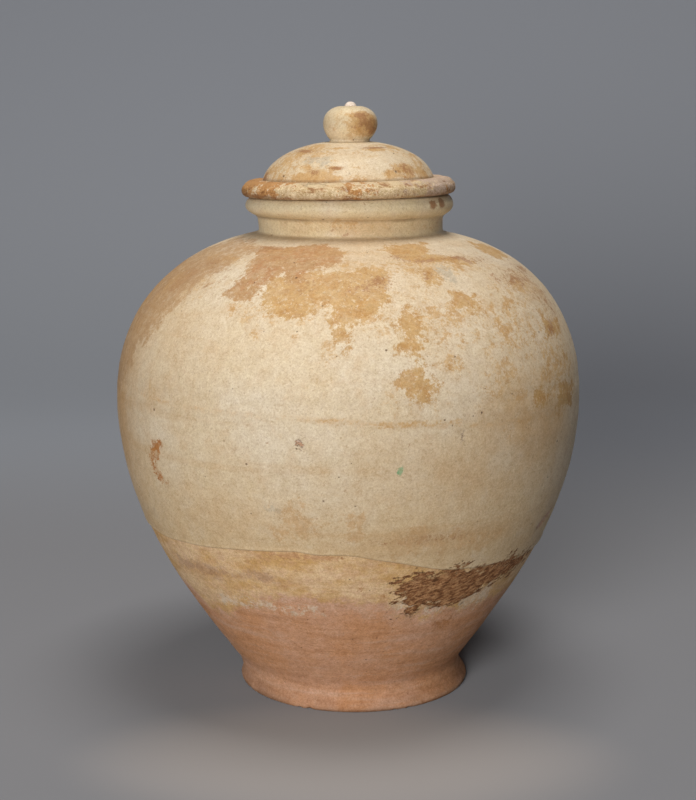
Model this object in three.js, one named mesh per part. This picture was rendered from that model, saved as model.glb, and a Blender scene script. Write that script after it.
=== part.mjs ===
// A covered storage jar of wheel-thrown earthenware with a straw-coloured glaze.
// The potter threw the vessel in sections and luted them: a splayed foot, a lower bowl, a shoulder
// dome and a collar with a rolled lip. The cover is a domed cap with a flange, a locating ring under
// it and a knob on top. A glaze coat lies over the upper vessel and over the cover.
// Millimetres, +Z up, origin at the centre of the standing surface. Everything is turned about Z.
import * as THREE from "three";

const degrees = THREE.MathUtils.degToRad;

// Foot: it flares down from its waist to a sharp standing edge, and is hollowed a little under.
const FOOT_R = 71.9;
const FOOT_H = 9.2;
const FOOT_FLARE = 2.6;
const FOOT_EDGE_H = 2.2;
const FOOT_BEVEL = 1.2;
const STANDING_RING_W = 13;
const BASE_RECESS = 2.5;

// Vessel wall: it leaves the waist in a short fillet, then runs in two curves that meet, upright,
// at the belly. Fullness is the length of a curve's handle at both of its ends.
const WAIST_FILLET_W = 4.6;
const WAIST_FILLET_H = 13;
const BODY_LEAN = degrees(35.4);
const LOWER_FULLNESS = 60.6;
const BELLY_R = 141;
const BELLY_Z = 183;
const UPPER_FULLNESS = 54.5;
const SHOULDER_SLOPE = degrees(12);
const SHOULDER_FULLNESS = 45.3;
const SHOULDER_Z = 279.4;
const WALL = 7.5;
const FLOOR = 6;
const SEAM_ABOVE_BELLY = 12;

// Collar and rolled lip
const NECK_R = 54.8;
const NECK_WALL = 6.3;
const NECK_H = 23.9;
const NECK_ROOT_W = 7.3;
const NECK_ROOT_H = 4.2;
const LIP_W = 7.2;
const LIP_H = 11;
const LIP_INNER_ROUND = 4;

// Glaze coat of the vessel; its lower edge sways by the sum of the waves.
const GLAZE_GAP = 0.35;
const GLAZE = 0.7;
const GLAZE_INSIDE = 9;
const GLAZE_ROLL = 0.35;
const GLAZE_LINE_Z = 107;
const GLAZE_WAVES = [
  { turns: 1, height: 6.3, phase: 3.25 },
  { turns: 2, height: 2.7, phase: 2.66 },
  { turns: 3, height: 4.5, phase: 1.8 },
];

// Cover: flange, dome and the locating ring under them
const LID_CLEARANCE = 0.3;
const FLANGE_OVERHANG = 2.8;
const FLANGE_H = 8.7;
const FLANGE_W = 13.8;
const FLANGE_VALLEY = 0.9;
const DOME_H = 21.65;
const DOME_STEEP = 13.3;
const DOME_LEAN = degrees(16);
const DOME_FLAT = 17.4;
const DOME_SLOPE = degrees(7);
const LID_WALL = 6;
const RING_DEPTH = 11.5;
const RING_WALL = 4.2;
const RING_CLEARANCE = 1.1;
const RING_TAPER = 0.5;

// Knob and the nib in its top
const KNOB_R = 15.3;
const KNOB_NECK_R = 10.8;
const KNOB_H = 21.2;
const KNOB_WIDEST_H = 12.1;
const KNOB_FILLET = 3;
const NIB_R = 3.8;
const NIB_CLEARANCE = 0.3;
const NIB_SOCKET = 6;
const NIB_PROUD = 3.8;

// Facets round the axis, and steps along the two wall curves
const JAR_SIDES = 44;
const LID_SIDES = 28;
const NIB_SIDES = 12;
const WALL_OUTSIDE_STEPS = [7, 9];
const WALL_INSIDE_STEPS = [4, 6];

// What follows from the sizes above
const WAIST_R = FOOT_R - FOOT_FLARE;
const SEAM_Z = BELLY_Z + SEAM_ABOVE_BELLY;
const BORE_R = NECK_R - NECK_WALL;
const LIP_R = NECK_R + LIP_W;
const LIP_TOP_Z = SHOULDER_Z + NECK_H;
const LIP_CREST_R = (BORE_R + LIP_R) / 2;
const LID_Z = LIP_TOP_Z + GLAZE_GAP + GLAZE + LID_CLEARANCE;
const FLANGE_R = LIP_R + FLANGE_OVERHANG;
const FLANGE_TOP_Z = LID_Z + FLANGE_H;
const DOME_R = FLANGE_R - FLANGE_W;
const DOME_Z = FLANGE_TOP_Z;
const RING_R = BORE_R - GLAZE_GAP - GLAZE - RING_CLEARANCE;
const KNOB_Z = DOME_Z + DOME_H;
const KNOB_SEAT_R = KNOB_NECK_R + KNOB_FILLET;
const KNOB_TOP_Z = KNOB_Z + KNOB_H;

const clay = new THREE.MeshStandardMaterial({ color: 0xc99a74, roughness: 0.9, metalness: 0 });
const slippedClay = new THREE.MeshStandardMaterial({ color: 0xd6b68c, roughness: 0.85, metalness: 0 });
const glaze = new THREE.MeshStandardMaterial({ color: 0xdcc9a2, roughness: 0.4, metalness: 0 });
const pinkClay = new THREE.MeshStandardMaterial({ color: 0xd8b3a0, roughness: 0.9, metalness: 0 });

const group = new THREE.Group();

function at(r, z) {
  return new THREE.Vector2(r, z);
}

function bezier(start, startHandle, endHandle, end, steps) {
  return new THREE.CubicBezierCurve(start, startHandle, endHandle, end).getPoints(steps);
}

// Stretches of an outline in one list, with neighbours that coincide dropped.
function joined(...stretches) {
  const points = [];
  for (const point of stretches.flat()) {
    const last = points[points.length - 1];
    if (!last || last.distanceTo(point) > 1e-3) points.push(point);
  }
  return points;
}

// The point where a rising outline passes a height.
function atHeight(outline, z) {
  const found = outline.findIndex((point, i) => i > 0 && point.y >= z);
  const above = found < 0 ? outline.length - 1 : found;
  const [a, b] = [outline[above - 1], outline[above]];
  return a.clone().lerp(b, (z - a.y) / (b.y - a.y));
}

// The part of a rising outline between two heights, with a point made at each of them.
function between(outline, lowZ, highZ) {
  const inside = outline.filter((point) => point.y > lowZ && point.y < highZ);
  return joined([atHeight(outline, lowZ)], inside, [atHeight(outline, highZ)]);
}

// Unit normals of an outline that rises with the clay on its left, so they point out of the clay.
function normalsOf(points) {
  return points.map((_, i) => {
    const a = points[Math.max(i - 1, 0)];
    const b = points[Math.min(i + 1, points.length - 1)];
    const along = b.clone().sub(a).normalize();
    return at(along.y, -along.x);
  });
}

// The outline moved along its normals; a negative distance moves it into the clay.
function offset(points, distance) {
  const normals = normalsOf(points);
  return points.map((point, i) => point.clone().addScaledVector(normals[i], distance));
}

function addNamed(name, geometry, material) {
  const mesh = new THREE.Mesh(geometry, material);
  mesh.name = name;
  group.add(mesh);
}

// A section turned about Z. It runs up the outside, and starts and ends on the axis or closes up.
function addTurned(name, section, sides, material) {
  const first = section[0];
  const closed = first.x === 0 ? section : [...section, first.clone()];
  const geometry = new THREE.LatheGeometry(closed, sides);
  geometry.rotateX(Math.PI / 2);
  addNamed(name, geometry, material);
}

// The two curves of the wall, from the end of the waist's fillet to the root of the neck
function wallCurves([lowerSteps, upperSteps]) {
  const start = at(WAIST_R + WAIST_FILLET_W, FOOT_H + WAIST_FILLET_H);
  const end = at(NECK_R + NECK_ROOT_W, SHOULDER_Z);
  const lower = bezier(
    start,
    at(
      start.x + LOWER_FULLNESS * Math.sin(BODY_LEAN),
      start.y + LOWER_FULLNESS * Math.cos(BODY_LEAN),
    ),
    at(BELLY_R, BELLY_Z - LOWER_FULLNESS),
    at(BELLY_R, BELLY_Z),
    lowerSteps,
  );
  const upper = bezier(
    at(BELLY_R, BELLY_Z),
    at(BELLY_R, BELLY_Z + UPPER_FULLNESS),
    at(
      end.x + SHOULDER_FULLNESS * Math.cos(SHOULDER_SLOPE),
      end.y - SHOULDER_FULLNESS * Math.sin(SHOULDER_SLOPE),
    ),
    end,
    upperSteps,
  );
  return joined(lower, upper);
}

function waistFillet() {
  const handle = WAIST_FILLET_H / 2;
  const end = at(WAIST_R + WAIST_FILLET_W, FOOT_H + WAIST_FILLET_H);
  return bezier(
    at(WAIST_R, FOOT_H),
    at(WAIST_R, FOOT_H + handle),
    at(end.x - handle * Math.sin(BODY_LEAN), end.y - handle * Math.cos(BODY_LEAN)),
    end,
    2,
  );
}

const wallOutside = joined(waistFillet(), wallCurves(WALL_OUTSIDE_STEPS));
const wallInside = offset(wallCurves(WALL_INSIDE_STEPS), -WALL);

// The collar's outline: a fillet out of the shoulder, an upright neck, a groove, then the rolled
// lip, which is fullest below its crest, and the rounding into the bore.
function collarOutline() {
  const groove = at(NECK_R + 0.08 * LIP_W, LIP_TOP_Z - 1.1 * LIP_H);
  const lipStart = at(NECK_R + 0.2 * LIP_W, LIP_TOP_Z - 0.95 * LIP_H);
  const lipFull = at(LIP_R, LIP_TOP_Z - 0.42 * LIP_H);
  const crest = at(LIP_CREST_R, LIP_TOP_Z);
  return joined(
    bezier(
      at(NECK_R + NECK_ROOT_W, SHOULDER_Z),
      at(NECK_R + 0.6 * NECK_ROOT_W, SHOULDER_Z + 0.17 * NECK_ROOT_H),
      at(NECK_R, SHOULDER_Z + 0.43 * NECK_ROOT_H),
      at(NECK_R, SHOULDER_Z + NECK_ROOT_H),
      2,
    ),
    [groove],
    bezier(
      lipStart,
      at(lipStart.x + 0.26 * LIP_W, lipStart.y + 0.17 * LIP_H),
      at(lipFull.x, lipFull.y - 0.3 * LIP_H),
      lipFull,
      3,
    ),
    bezier(
      lipFull,
      at(lipFull.x, lipFull.y + 0.26 * LIP_H),
      at(lipFull.x - 0.3 * LIP_W, LIP_TOP_Z),
      at(crest.x + 0.28 * LIP_W, LIP_TOP_Z),
      2,
    ),
    bezier(
      at(crest.x - 0.28 * LIP_W, LIP_TOP_Z),
      at(BORE_R + 0.4 * LIP_INNER_ROUND, LIP_TOP_Z),
      at(BORE_R, LIP_TOP_Z - 0.4 * LIP_INNER_ROUND),
      at(BORE_R, LIP_TOP_Z - LIP_INNER_ROUND),
      2,
    ),
  );
}

const collarOutside = collarOutline();

function makeFoot() {
  const recessR = FOOT_R - FOOT_BEVEL - STANDING_RING_W;
  const flareH = FOOT_H - FOOT_EDGE_H;
  const flare = bezier(
    at(FOOT_R, FOOT_EDGE_H),
    at(FOOT_R - 0.3 * FOOT_FLARE, FOOT_EDGE_H + 0.36 * flareH),
    at(WAIST_R, FOOT_H - 0.32 * flareH),
    at(WAIST_R, FOOT_H),
    3,
  );
  const section = joined(
    [
      at(0, BASE_RECESS),
      at(recessR - BASE_RECESS, BASE_RECESS),
      at(recessR, 0),
      at(FOOT_R - FOOT_BEVEL, 0),
      at(FOOT_R, FOOT_BEVEL),
    ],
    flare,
    [at(0, FOOT_H)],
  );
  addTurned("foot", section, JAR_SIDES, clay);
}

function makeLowerBody() {
  const floorZ = FOOT_H + FLOOR;
  const cornerH = 3;
  const outside = between(wallOutside, FOOT_H, SEAM_Z);
  const inside = between(wallInside, floorZ + cornerH, SEAM_Z).reverse();
  const corner = inside[inside.length - 1];
  const section = joined(
    [at(0, FOOT_H)],
    outside,
    inside,
    [
      at(corner.x - cornerH, floorZ + cornerH / 4),
      at(corner.x - 2.5 * cornerH, floorZ),
      at(0, floorZ),
    ],
  );
  addTurned("lower_body", section, JAR_SIDES, slippedClay);
}

function makeUpperBody() {
  const outside = between(wallOutside, SEAM_Z, SHOULDER_Z);
  const undersideZ = SHOULDER_Z - WALL;
  const edgeRound = 2;
  const inside = between(wallInside, SEAM_Z, undersideZ - edgeRound / 2).reverse();
  const section = joined(
    outside,
    [
      at(BORE_R, SHOULDER_Z),
      at(BORE_R, undersideZ + edgeRound),
      at(BORE_R + edgeRound, undersideZ),
    ],
    inside,
  );
  addTurned("upper_body", section, JAR_SIDES, slippedClay);
}

function makeCollar() {
  addTurned("neck_collar", joined(collarOutside, [at(BORE_R, SHOULDER_Z)]), JAR_SIDES, slippedClay);
}

// Height of the glaze's lower edge at an azimuth from the front
function glazeEdgeZ(azimuth) {
  const sway = GLAZE_WAVES.map(({ turns, height, phase }) => height * Math.sin(turns * azimuth + phase));
  return GLAZE_LINE_Z + sway.reduce((sum, height) => sum + height, 0);
}

// The closed section of the glaze coat at an azimuth. From the first corner of the wall's outline
// above the waves it is the same all round; below, its points spread out to end on the wavy edge.
function glazeSection(azimuth) {
  const bandSteps = 4;
  const edgeCrowding = 1.4;
  const waveTop = GLAZE_LINE_Z + GLAZE_WAVES.reduce((sum, { height }) => sum + height, 0);
  const bandTopZ = wallOutside.find((point) => point.y > waveTop).y;
  const edgeZ = glazeEdgeZ(azimuth);
  const band = [];
  for (let i = 0; i < bandSteps; i++) {
    const share = (i / bandSteps) ** edgeCrowding;
    band.push(atHeight(wallOutside, THREE.MathUtils.lerp(edgeZ, bandTopZ, share)));
  }
  const wall = between(wallOutside, bandTopZ, SHOULDER_Z);
  const boreEnd = at(BORE_R, LIP_TOP_Z - LIP_INNER_ROUND - GLAZE_INSIDE);
  const outline = joined(band, wall, collarOutside, [boreEnd]);
  const back = offset(outline, GLAZE_GAP);
  const front = offset(outline, GLAZE_GAP + GLAZE);
  const bead = 1;
  front[bead].addScaledVector(normalsOf(outline)[bead], GLAZE_ROLL);
  return [...front, ...back.reverse()];
}

// The glaze coat is lofted through one section per facet, in step with the turned clay under it.
function makeJarGlaze() {
  const azimuths = Array.from({ length: JAR_SIDES }, (_, i) => (i / JAR_SIDES) * 2 * Math.PI);
  const sections = azimuths.map(glazeSection);
  const perSection = sections[0].length;
  const positions = sections.flatMap((section, i) =>
    section.flatMap(({ x, y }) => [x * Math.sin(azimuths[i]), -x * Math.cos(azimuths[i]), y]),
  );
  const faces = [];
  for (let i = 0; i < JAR_SIDES; i++) {
    const here = i * perSection;
    const beside = ((i + 1) % JAR_SIDES) * perSection;
    for (let j = 0; j < perSection; j++) {
      const next = (j + 1) % perSection;
      faces.push(here + j, beside + j, beside + next, here + j, beside + next, here + next);
    }
  }
  const geometry = new THREE.BufferGeometry();
  geometry.setAttribute("position", new THREE.Float32BufferAttribute(positions, 3));
  geometry.setIndex(faces);
  geometry.computeVertexNormals();
  addNamed("jar_glaze", geometry, glaze);
}

// The flange's rounded edge, in an under half and an upper half that ends in a low ridge
const flangeMid = at(FLANGE_R, LID_Z + 0.47 * FLANGE_H);
const flangeUnder = bezier(
  at(FLANGE_R - 0.45 * FLANGE_H, LID_Z),
  at(FLANGE_R - 0.06 * FLANGE_H, LID_Z),
  at(FLANGE_R, LID_Z + 0.24 * FLANGE_H),
  flangeMid,
  3,
);
const flangeUpper = bezier(
  flangeMid,
  at(FLANGE_R, flangeMid.y + 0.29 * FLANGE_H),
  at(FLANGE_R - 0.3 * FLANGE_H, FLANGE_TOP_Z),
  at(FLANGE_R - 0.66 * FLANGE_H, FLANGE_TOP_Z),
  3,
);

// From the valley behind the ridge up the dome to the knob's seat
const valley = at(DOME_R + 0.3 * FLANGE_W, FLANGE_TOP_Z - FLANGE_VALLEY);
const domeCurve = bezier(
  at(DOME_R, DOME_Z),
  at(DOME_R - DOME_STEEP * Math.sin(DOME_LEAN), DOME_Z + DOME_STEEP * Math.cos(DOME_LEAN)),
  at(KNOB_SEAT_R + DOME_FLAT * Math.cos(DOME_SLOPE), KNOB_Z - DOME_FLAT * Math.sin(DOME_SLOPE)),
  at(KNOB_SEAT_R, KNOB_Z),
  7,
);

// The knob's outline: short neck, bulb that is widest above its middle, and a flattened crown
const bulbZ = KNOB_Z + KNOB_WIDEST_H;
const crownH = KNOB_TOP_Z - bulbZ;
const neckTop = at(KNOB_NECK_R, KNOB_Z + KNOB_FILLET);
const knobOutline = joined(
  bezier(
    at(KNOB_NECK_R + KNOB_FILLET / 2, KNOB_Z),
    at(KNOB_NECK_R, KNOB_Z + 0.25 * KNOB_FILLET),
    at(KNOB_NECK_R, KNOB_Z + 0.6 * KNOB_FILLET),
    neckTop,
    2,
  ),
  bezier(
    neckTop,
    at(KNOB_R - 0.1 * KNOB_R, neckTop.y + 0.3 * (bulbZ - neckTop.y)),
    at(KNOB_R, bulbZ - 0.3 * (bulbZ - neckTop.y)),
    at(KNOB_R, bulbZ),
    3,
  ),
  bezier(
    at(KNOB_R, bulbZ),
    at(KNOB_R, bulbZ + 0.6 * crownH),
    at(KNOB_R - 0.27 * KNOB_R, KNOB_TOP_Z - 0.07 * crownH),
    at(1.42 * NIB_R, KNOB_TOP_Z),
    3,
  ),
);

function makeLidCap() {
  const hollowR = RING_R - RING_WALL;
  const ceilingZ = KNOB_Z - LID_WALL;
  const ceiling = bezier(
    at(0, ceilingZ),
    at(0.6 * hollowR, ceilingZ),
    at(hollowR, LID_Z + 0.6 * (ceilingZ - LID_Z)),
    at(hollowR, LID_Z),
    6,
  );
  const top = joined([valley], domeCurve, [at(0, KNOB_Z)]);
  addTurned("lid_cap", joined(ceiling, flangeUnder, flangeUpper, top), LID_SIDES, slippedClay);
}

function makeLocatingRing() {
  const innerR = RING_R - RING_WALL;
  const bottomZ = LID_Z - RING_DEPTH;
  const edgeRound = 1.2;
  const section = [
    at(innerR, LID_Z),
    at(innerR + RING_TAPER, bottomZ + edgeRound),
    at(innerR + RING_TAPER + edgeRound, bottomZ),
    at(RING_R - RING_TAPER - edgeRound, bottomZ),
    at(RING_R - RING_TAPER, bottomZ + edgeRound),
    at(RING_R, LID_Z),
  ];
  addTurned("lid_locating_ring", section, LID_SIDES, slippedClay);
}

function makeKnob() {
  const socketR = NIB_R + NIB_CLEARANCE;
  const socketZ = KNOB_TOP_Z - NIB_SOCKET;
  const socket = [at(socketR, KNOB_TOP_Z), at(socketR, socketZ), at(0, socketZ)];
  addTurned("lid_knob", joined([at(0, KNOB_Z)], knobOutline, socket), LID_SIDES, slippedClay);
}

function makeNib() {
  const bottomZ = KNOB_TOP_Z - NIB_SOCKET;
  const tipZ = KNOB_TOP_Z + NIB_PROUD;
  const tip = bezier(
    at(NIB_R, tipZ - 0.8 * NIB_PROUD),
    at(0.9 * NIB_R, tipZ - 0.3 * NIB_PROUD),
    at(NIB_R / 2, tipZ),
    at(0, tipZ),
    3,
  );
  addTurned("knob_nib", joined([at(0, bottomZ), at(NIB_R, bottomZ)], tip), NIB_SIDES, pinkClay);
}

// The cover's glaze: one coat from the flange's ridge over the dome and the knob to the nib.
function makeLidGlaze() {
  const knobCoat = knobOutline.slice(1);
  const domeCoat = domeCurve.slice(0, -1);
  const outline = joined(flangeUpper.slice(-2), [valley], domeCoat, knobCoat);
  const section = [...offset(outline, GLAZE_GAP + GLAZE), ...offset(outline, GLAZE_GAP).reverse()];
  addTurned("lid_glaze", section, LID_SIDES, glaze);
}

makeFoot();
makeLowerBody();
makeUpperBody();
makeCollar();
makeJarGlaze();
makeLidCap();
makeLocatingRing();
makeKnob();
makeNib();
makeLidGlaze();

export default group;
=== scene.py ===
# A covered storage jar of pink clay with a pale slip and a straw glaze, stained by burial.
# Lengths are in millimetres until a mesh is made. Azimuth 0 faces -Y and 90 faces +X, in degrees.
import bpy
import math
import numpy as np
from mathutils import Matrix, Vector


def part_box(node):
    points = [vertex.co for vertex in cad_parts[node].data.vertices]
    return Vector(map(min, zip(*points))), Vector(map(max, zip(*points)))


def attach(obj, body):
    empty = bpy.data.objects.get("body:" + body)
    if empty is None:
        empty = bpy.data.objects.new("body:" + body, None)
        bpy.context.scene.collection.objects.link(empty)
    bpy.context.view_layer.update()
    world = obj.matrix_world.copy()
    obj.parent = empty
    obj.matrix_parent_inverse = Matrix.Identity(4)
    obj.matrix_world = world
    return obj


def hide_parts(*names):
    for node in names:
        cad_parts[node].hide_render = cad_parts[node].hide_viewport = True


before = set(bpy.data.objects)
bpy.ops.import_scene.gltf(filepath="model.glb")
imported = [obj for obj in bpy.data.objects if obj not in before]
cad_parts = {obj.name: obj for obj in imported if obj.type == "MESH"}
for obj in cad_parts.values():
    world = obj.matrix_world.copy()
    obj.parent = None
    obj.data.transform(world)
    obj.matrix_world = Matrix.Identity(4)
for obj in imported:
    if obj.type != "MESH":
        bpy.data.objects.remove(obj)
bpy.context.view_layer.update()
mm = 0.001
farAway = 30.0  # what a distance to a stain is cut off at


def levels(name):
    # a turned solid's lowest level, its radius and its highest level
    low, high = np.array(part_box(name)) / mm
    return low[2], high[0], high[2]


def widest(name, low, high):
    # the largest radius of a solid between two heights
    spots = np.array([tuple(v.co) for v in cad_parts[name].data.vertices]) / mm
    spots = spots[(spots[:, 2] > low) & (spots[:, 2] < high)]
    return np.hypot(spots[:, 0], spots[:, 1]).max()


# The levels and radii that the turned skins are fitted to
_, footR, footTop = levels("foot")
_, bellyR, seamZ = levels("lower_body")
_, _, shoulderZ = levels("upper_body")
_, _, lipTop = levels("neck_collar")
lipR = widest("neck_collar", lipTop - 8, lipTop)
_, coatR, _ = levels("jar_glaze")
lidSeat, flangeR, _ = levels("lid_cap")
knobZ, knobR, knobTop = levels("lid_knob")
ringBottom, ringR, _ = levels("lid_locating_ring")
nibBottom, nibR, nibTip = levels("knob_nib")


# Outlines, in radius and height

def curve(start, startHandle, endHandle, end, steps=40):
    points = [np.array(p, float) for p in (start, startHandle, endHandle, end)]
    t = np.linspace(0, 1, steps + 1)[:, None]
    shares = [(1 - t) ** 3, 3 * t * (1 - t) ** 2, 3 * (1 - t) * t ** 2, t ** 3]
    return sum(share * point for share, point in zip(shares, points))


def joined(*stretches):
    points = np.vstack([np.array(s, float).reshape(-1, 2) for s in stretches])
    apart = np.hypot(*np.diff(points, axis=0).T) > 1e-4
    return points[np.concatenate([[True], apart])]


def lengthAlong(line):
    return np.concatenate([[0], np.cumsum(np.hypot(*np.diff(line, axis=0).T))])


def radiusAt(outline, z):
    return np.interp(z, outline[:, 1], outline[:, 0])


def spaced(points, gap):
    # the same line with points about a gap apart, and the way out of the clay at each
    points = np.array(points, float)
    along = lengthAlong(points)
    count = max(2, int(round(along[-1] / gap)) + 1)
    at = np.linspace(0, along[-1], count)
    line = np.stack([np.interp(at, along, points[:, k]) for k in (0, 1)], axis=1)
    slope = np.gradient(line, axis=0)
    outward = np.stack([slope[:, 1], -slope[:, 0]], axis=1)
    return line, outward / np.linalg.norm(outward, axis=1, keepdims=True)


def section(*stretches):
    # stretches of (points, gap); where two meet, the finer one keeps the shared corner
    lines, outs = [], []
    for i, (points, gap) in enumerate(stretches):
        line, outward = spaced(points, gap)
        if i > 0:
            if gap < stretches[i - 1][1]:
                lines[-1], outs[-1] = lines[-1][:-1], outs[-1][:-1]
            else:
                line, outward = line[1:], outward[1:]
        lines.append(line)
        outs.append(outward)
    return np.vstack(lines), np.vstack(outs)


# Lumps, and how far the hand-turned pot is from true

def lumps(x, y, z, size, seed):
    table = np.random.default_rng(seed).uniform(-1, 1, (32, 32, 32))
    cells = [np.asarray(c, float) / size for c in (x, y, z)]
    low = [np.floor(c).astype(int) for c in cells]
    ease = []
    for cell, base in zip(cells, low):
        part = cell - base
        ease.append(part ** 3 * (part * (6 * part - 15) + 10))
    total = 0
    for corner in np.ndindex(2, 2, 2):
        weight = 1.0
        for k in range(3):
            weight = weight * (ease[k] if corner[k] else 1 - ease[k])
        total = total + weight * table[tuple((low[k] + corner[k]) % 32 for k in range(3))]
    return total


outOfTrue = {
    "heights": [0, 5, 9.5, 14, 20, 45, 110, 183, 240, 260, 275, 287, 300, 308, 320, 330, 345],
    "across": [3.1, 3.0, 1.4, 0.4, 0.0, -0.3, -1.0, -0.5, 0.5, 1.2, 1.6, 0.8, -0.1, -0.7, -0.8, -0.2, 0.55],
    "lipTilt": 0.0187,         # rise of the lip and the flange towards +X, per millimetre
    "tiltHeights": [292, 303, 314, 335, 345],
    "tiltShares": [0, 1, 1, 0.25, 0],
}
driftHeights = np.arange(-10, 371, 1.0)
driftRaw = np.interp(driftHeights, outOfTrue["heights"], outOfTrue["across"])
driftAcross = np.convolve(np.pad(driftRaw, 2, mode="edge"), np.ones(5) / 5, mode="valid")


def settle(x, y, z):
    # the whole pot's sway and the tilt of its rim, the same for every skin
    share = np.interp(z, outOfTrue["tiltHeights"], outOfTrue["tiltShares"])
    rise = outOfTrue["lipTilt"] * x * share
    return x + np.interp(z, driftHeights, driftAcross), y, z + rise


throwing = {"sway": 0.8, "dents": 0.22, "ripples": 0.07, "grain": 0.03, "rings": 0.09, "fineRings": 0.035}


def handTurned(x, y, z, scale=1.0):
    flat = np.zeros_like(z)
    relief = throwing["sway"] * lumps(x, y, z, 115, 3) + throwing["dents"] * lumps(x, y, z, 37, 4)
    relief = relief + throwing["ripples"] * lumps(x, y, z, 13, 5)
    relief = relief + throwing["grain"] * lumps(x, y, z, 4.6, 6)
    relief = relief + throwing["rings"] * lumps(flat, flat, z + 2 * lumps(x, y, z, 160, 9), 5.2, 7)
    relief = relief + throwing["fineRings"] * lumps(flat, flat, z, 2.1, 8)
    return relief * scale


# Stains and wear are drawn on the surface, in azimuth and height

def around(azimuths, middle):
    return (azimuths - middle + 180) % 360 - 180


def reach(azimuths, radii, heights, arcOf, shapes):
    # distance to the nearest edge of some shapes, negative inside: outlines, or spots given as
    # (azimuth, height, half width, half height)
    nearest = np.full(np.broadcast(azimuths, heights).shape, farAway)
    arcs = arcOf(heights)
    for shape in shapes:
        if np.isscalar(shape[0]):
            middle, z, wide, high = shape
            dx = np.radians(around(azimuths, middle)) * radii / wide
            dy = (arcs - arcOf(z)) / high
            found = (np.hypot(dx, dy) - 1) * min(wide, high)
        else:
            found = toOutline(azimuths, radii, arcs, arcOf, np.array(shape, float))
        nearest = np.minimum(nearest, found)
    return np.clip(nearest, -farAway, farAway)


def toOutline(azimuths, radii, arcs, arcOf, outline):
    middle = outline[:, 0].mean()
    ys = arcOf(outline[:, 1])
    nearRows = (arcs > ys.min() - farAway) & (arcs < ys.max() + farAway)
    scale = radii[nearRows].mean()
    px = np.radians(around(azimuths, middle)) * scale + np.zeros_like(arcs)
    py = arcs + np.zeros_like(px)
    xs = np.radians(around(outline[:, 0], middle)) * scale
    best = np.full(px.shape, farAway)
    inside = np.zeros(px.shape, bool)
    for i in range(len(xs)):
        ax, ay, bx, by = xs[i - 1], ys[i - 1], xs[i], ys[i]
        length = max((bx - ax) ** 2 + (by - ay) ** 2, 1e-9)
        t = np.clip(((px - ax) * (bx - ax) + (py - ay) * (by - ay)) / length, 0, 1)
        best = np.minimum(best, np.hypot(px - ax - t * (bx - ax), py - ay - t * (by - ay)))
        if ay != by:
            crosses = (ay > py) != (by > py)
            inside ^= crosses & (px < ax + (py - ay) * (bx - ax) / (by - ay))
    return np.where(inside, -best, best)


def clouds(azimuths, radii, heights, arcOf, spots):
    # how thick a stain lies, from soft spots of (azimuth, height, half width, half height, strength)
    thick = np.zeros(np.broadcast(azimuths, heights).shape)
    arcs = arcOf(heights)
    for middle, level, wide, high, strength in spots:
        across = np.radians(around(azimuths, middle)) * radii / wide
        upward = (arcs - arcOf(level)) / high
        thick = np.maximum(thick, strength * np.exp(-(across ** 2 + upward ** 2)))
    return thick


def toLine(azimuths, radii, heights, arcOf, points):
    # distance to an open line of (azimuth, height) points
    points = np.array(points, float)
    level = np.interp(around(azimuths, 0), points[:, 0], points[:, 1])
    past = np.maximum(points[0, 0] - around(azimuths, 0), around(azimuths, 0) - points[-1, 0])
    beside = np.radians(np.maximum(past, 0)) * radii
    return np.clip(np.hypot(arcOf(heights) - arcOf(level), beside), 0, farAway)


def allRound(azimuths, points):
    # a smooth closed line through (azimuth, height) points
    points = sorted(points)
    xs = np.array([p[0] for p in points], float)
    ys = np.array([p[1] for p in points], float)
    xs = np.concatenate([xs - 360, xs, xs + 360])
    ys = np.tile(ys, 3)
    slopes = np.gradient(ys, xs)
    a = around(azimuths, 0)
    i = np.clip(np.searchsorted(xs, a, side="right") - 1, 0, len(xs) - 2)
    h = xs[i + 1] - xs[i]
    t = (a - xs[i]) / h
    start = (1 + 2 * t) * (1 - t) ** 2 * ys[i] + t * (1 - t) ** 2 * h * slopes[i]
    return start + t * t * (3 - 2 * t) * ys[i + 1] + t * t * (t - 1) * h * slopes[i + 1]


# Meshes

fieldNames = [
    "ochre", "brown", "streak", "pool", "shadeAndDirt", "low", "warm", "weathered", "rim", "rimTan", "rimPink",
]
reachNames = [
    "tan", "patch", "band", "smudge", "grey", "rust", "green", "flake", "crust", "seam", "slip", "pale",
    "purple",
]
sharpAngle = math.radians(55)
calmR = 4.0  # within this radius of the axis the surface is less and less uneven
plainSides = {"hidden": 240, "knob": 120, "nib": 72}  # of the skins that show little or are small


def azimuthsOf(sides):
    return np.arange(sides) * 360 / sides


def spotsOf(azimuths, points):
    # the azimuth, radius and height of a skin's points, and where they are, as sides by points
    if points.ndim == 2:
        points = points[None]
    a, r, z = azimuths[:, None], points[..., 0], points[..., 1]
    return a, r, z, r * np.sin(np.radians(a)), -r * np.cos(np.radians(a))


def hump(distance, width, power=2):
    # 1 at no distance, falling away over a width
    return np.exp(-((distance / width) ** power))


def rounded(distance, radius):
    # how far a rounded edge has risen at a distance in from it, up to 1
    return np.sqrt(np.clip(1 - (1 - np.clip(distance / radius, 0, 1)) ** 2, 0, 1))


def added(name, data):
    made = bpy.data.objects.new(name, data)
    bpy.context.scene.collection.objects.link(made)
    return made


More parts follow.
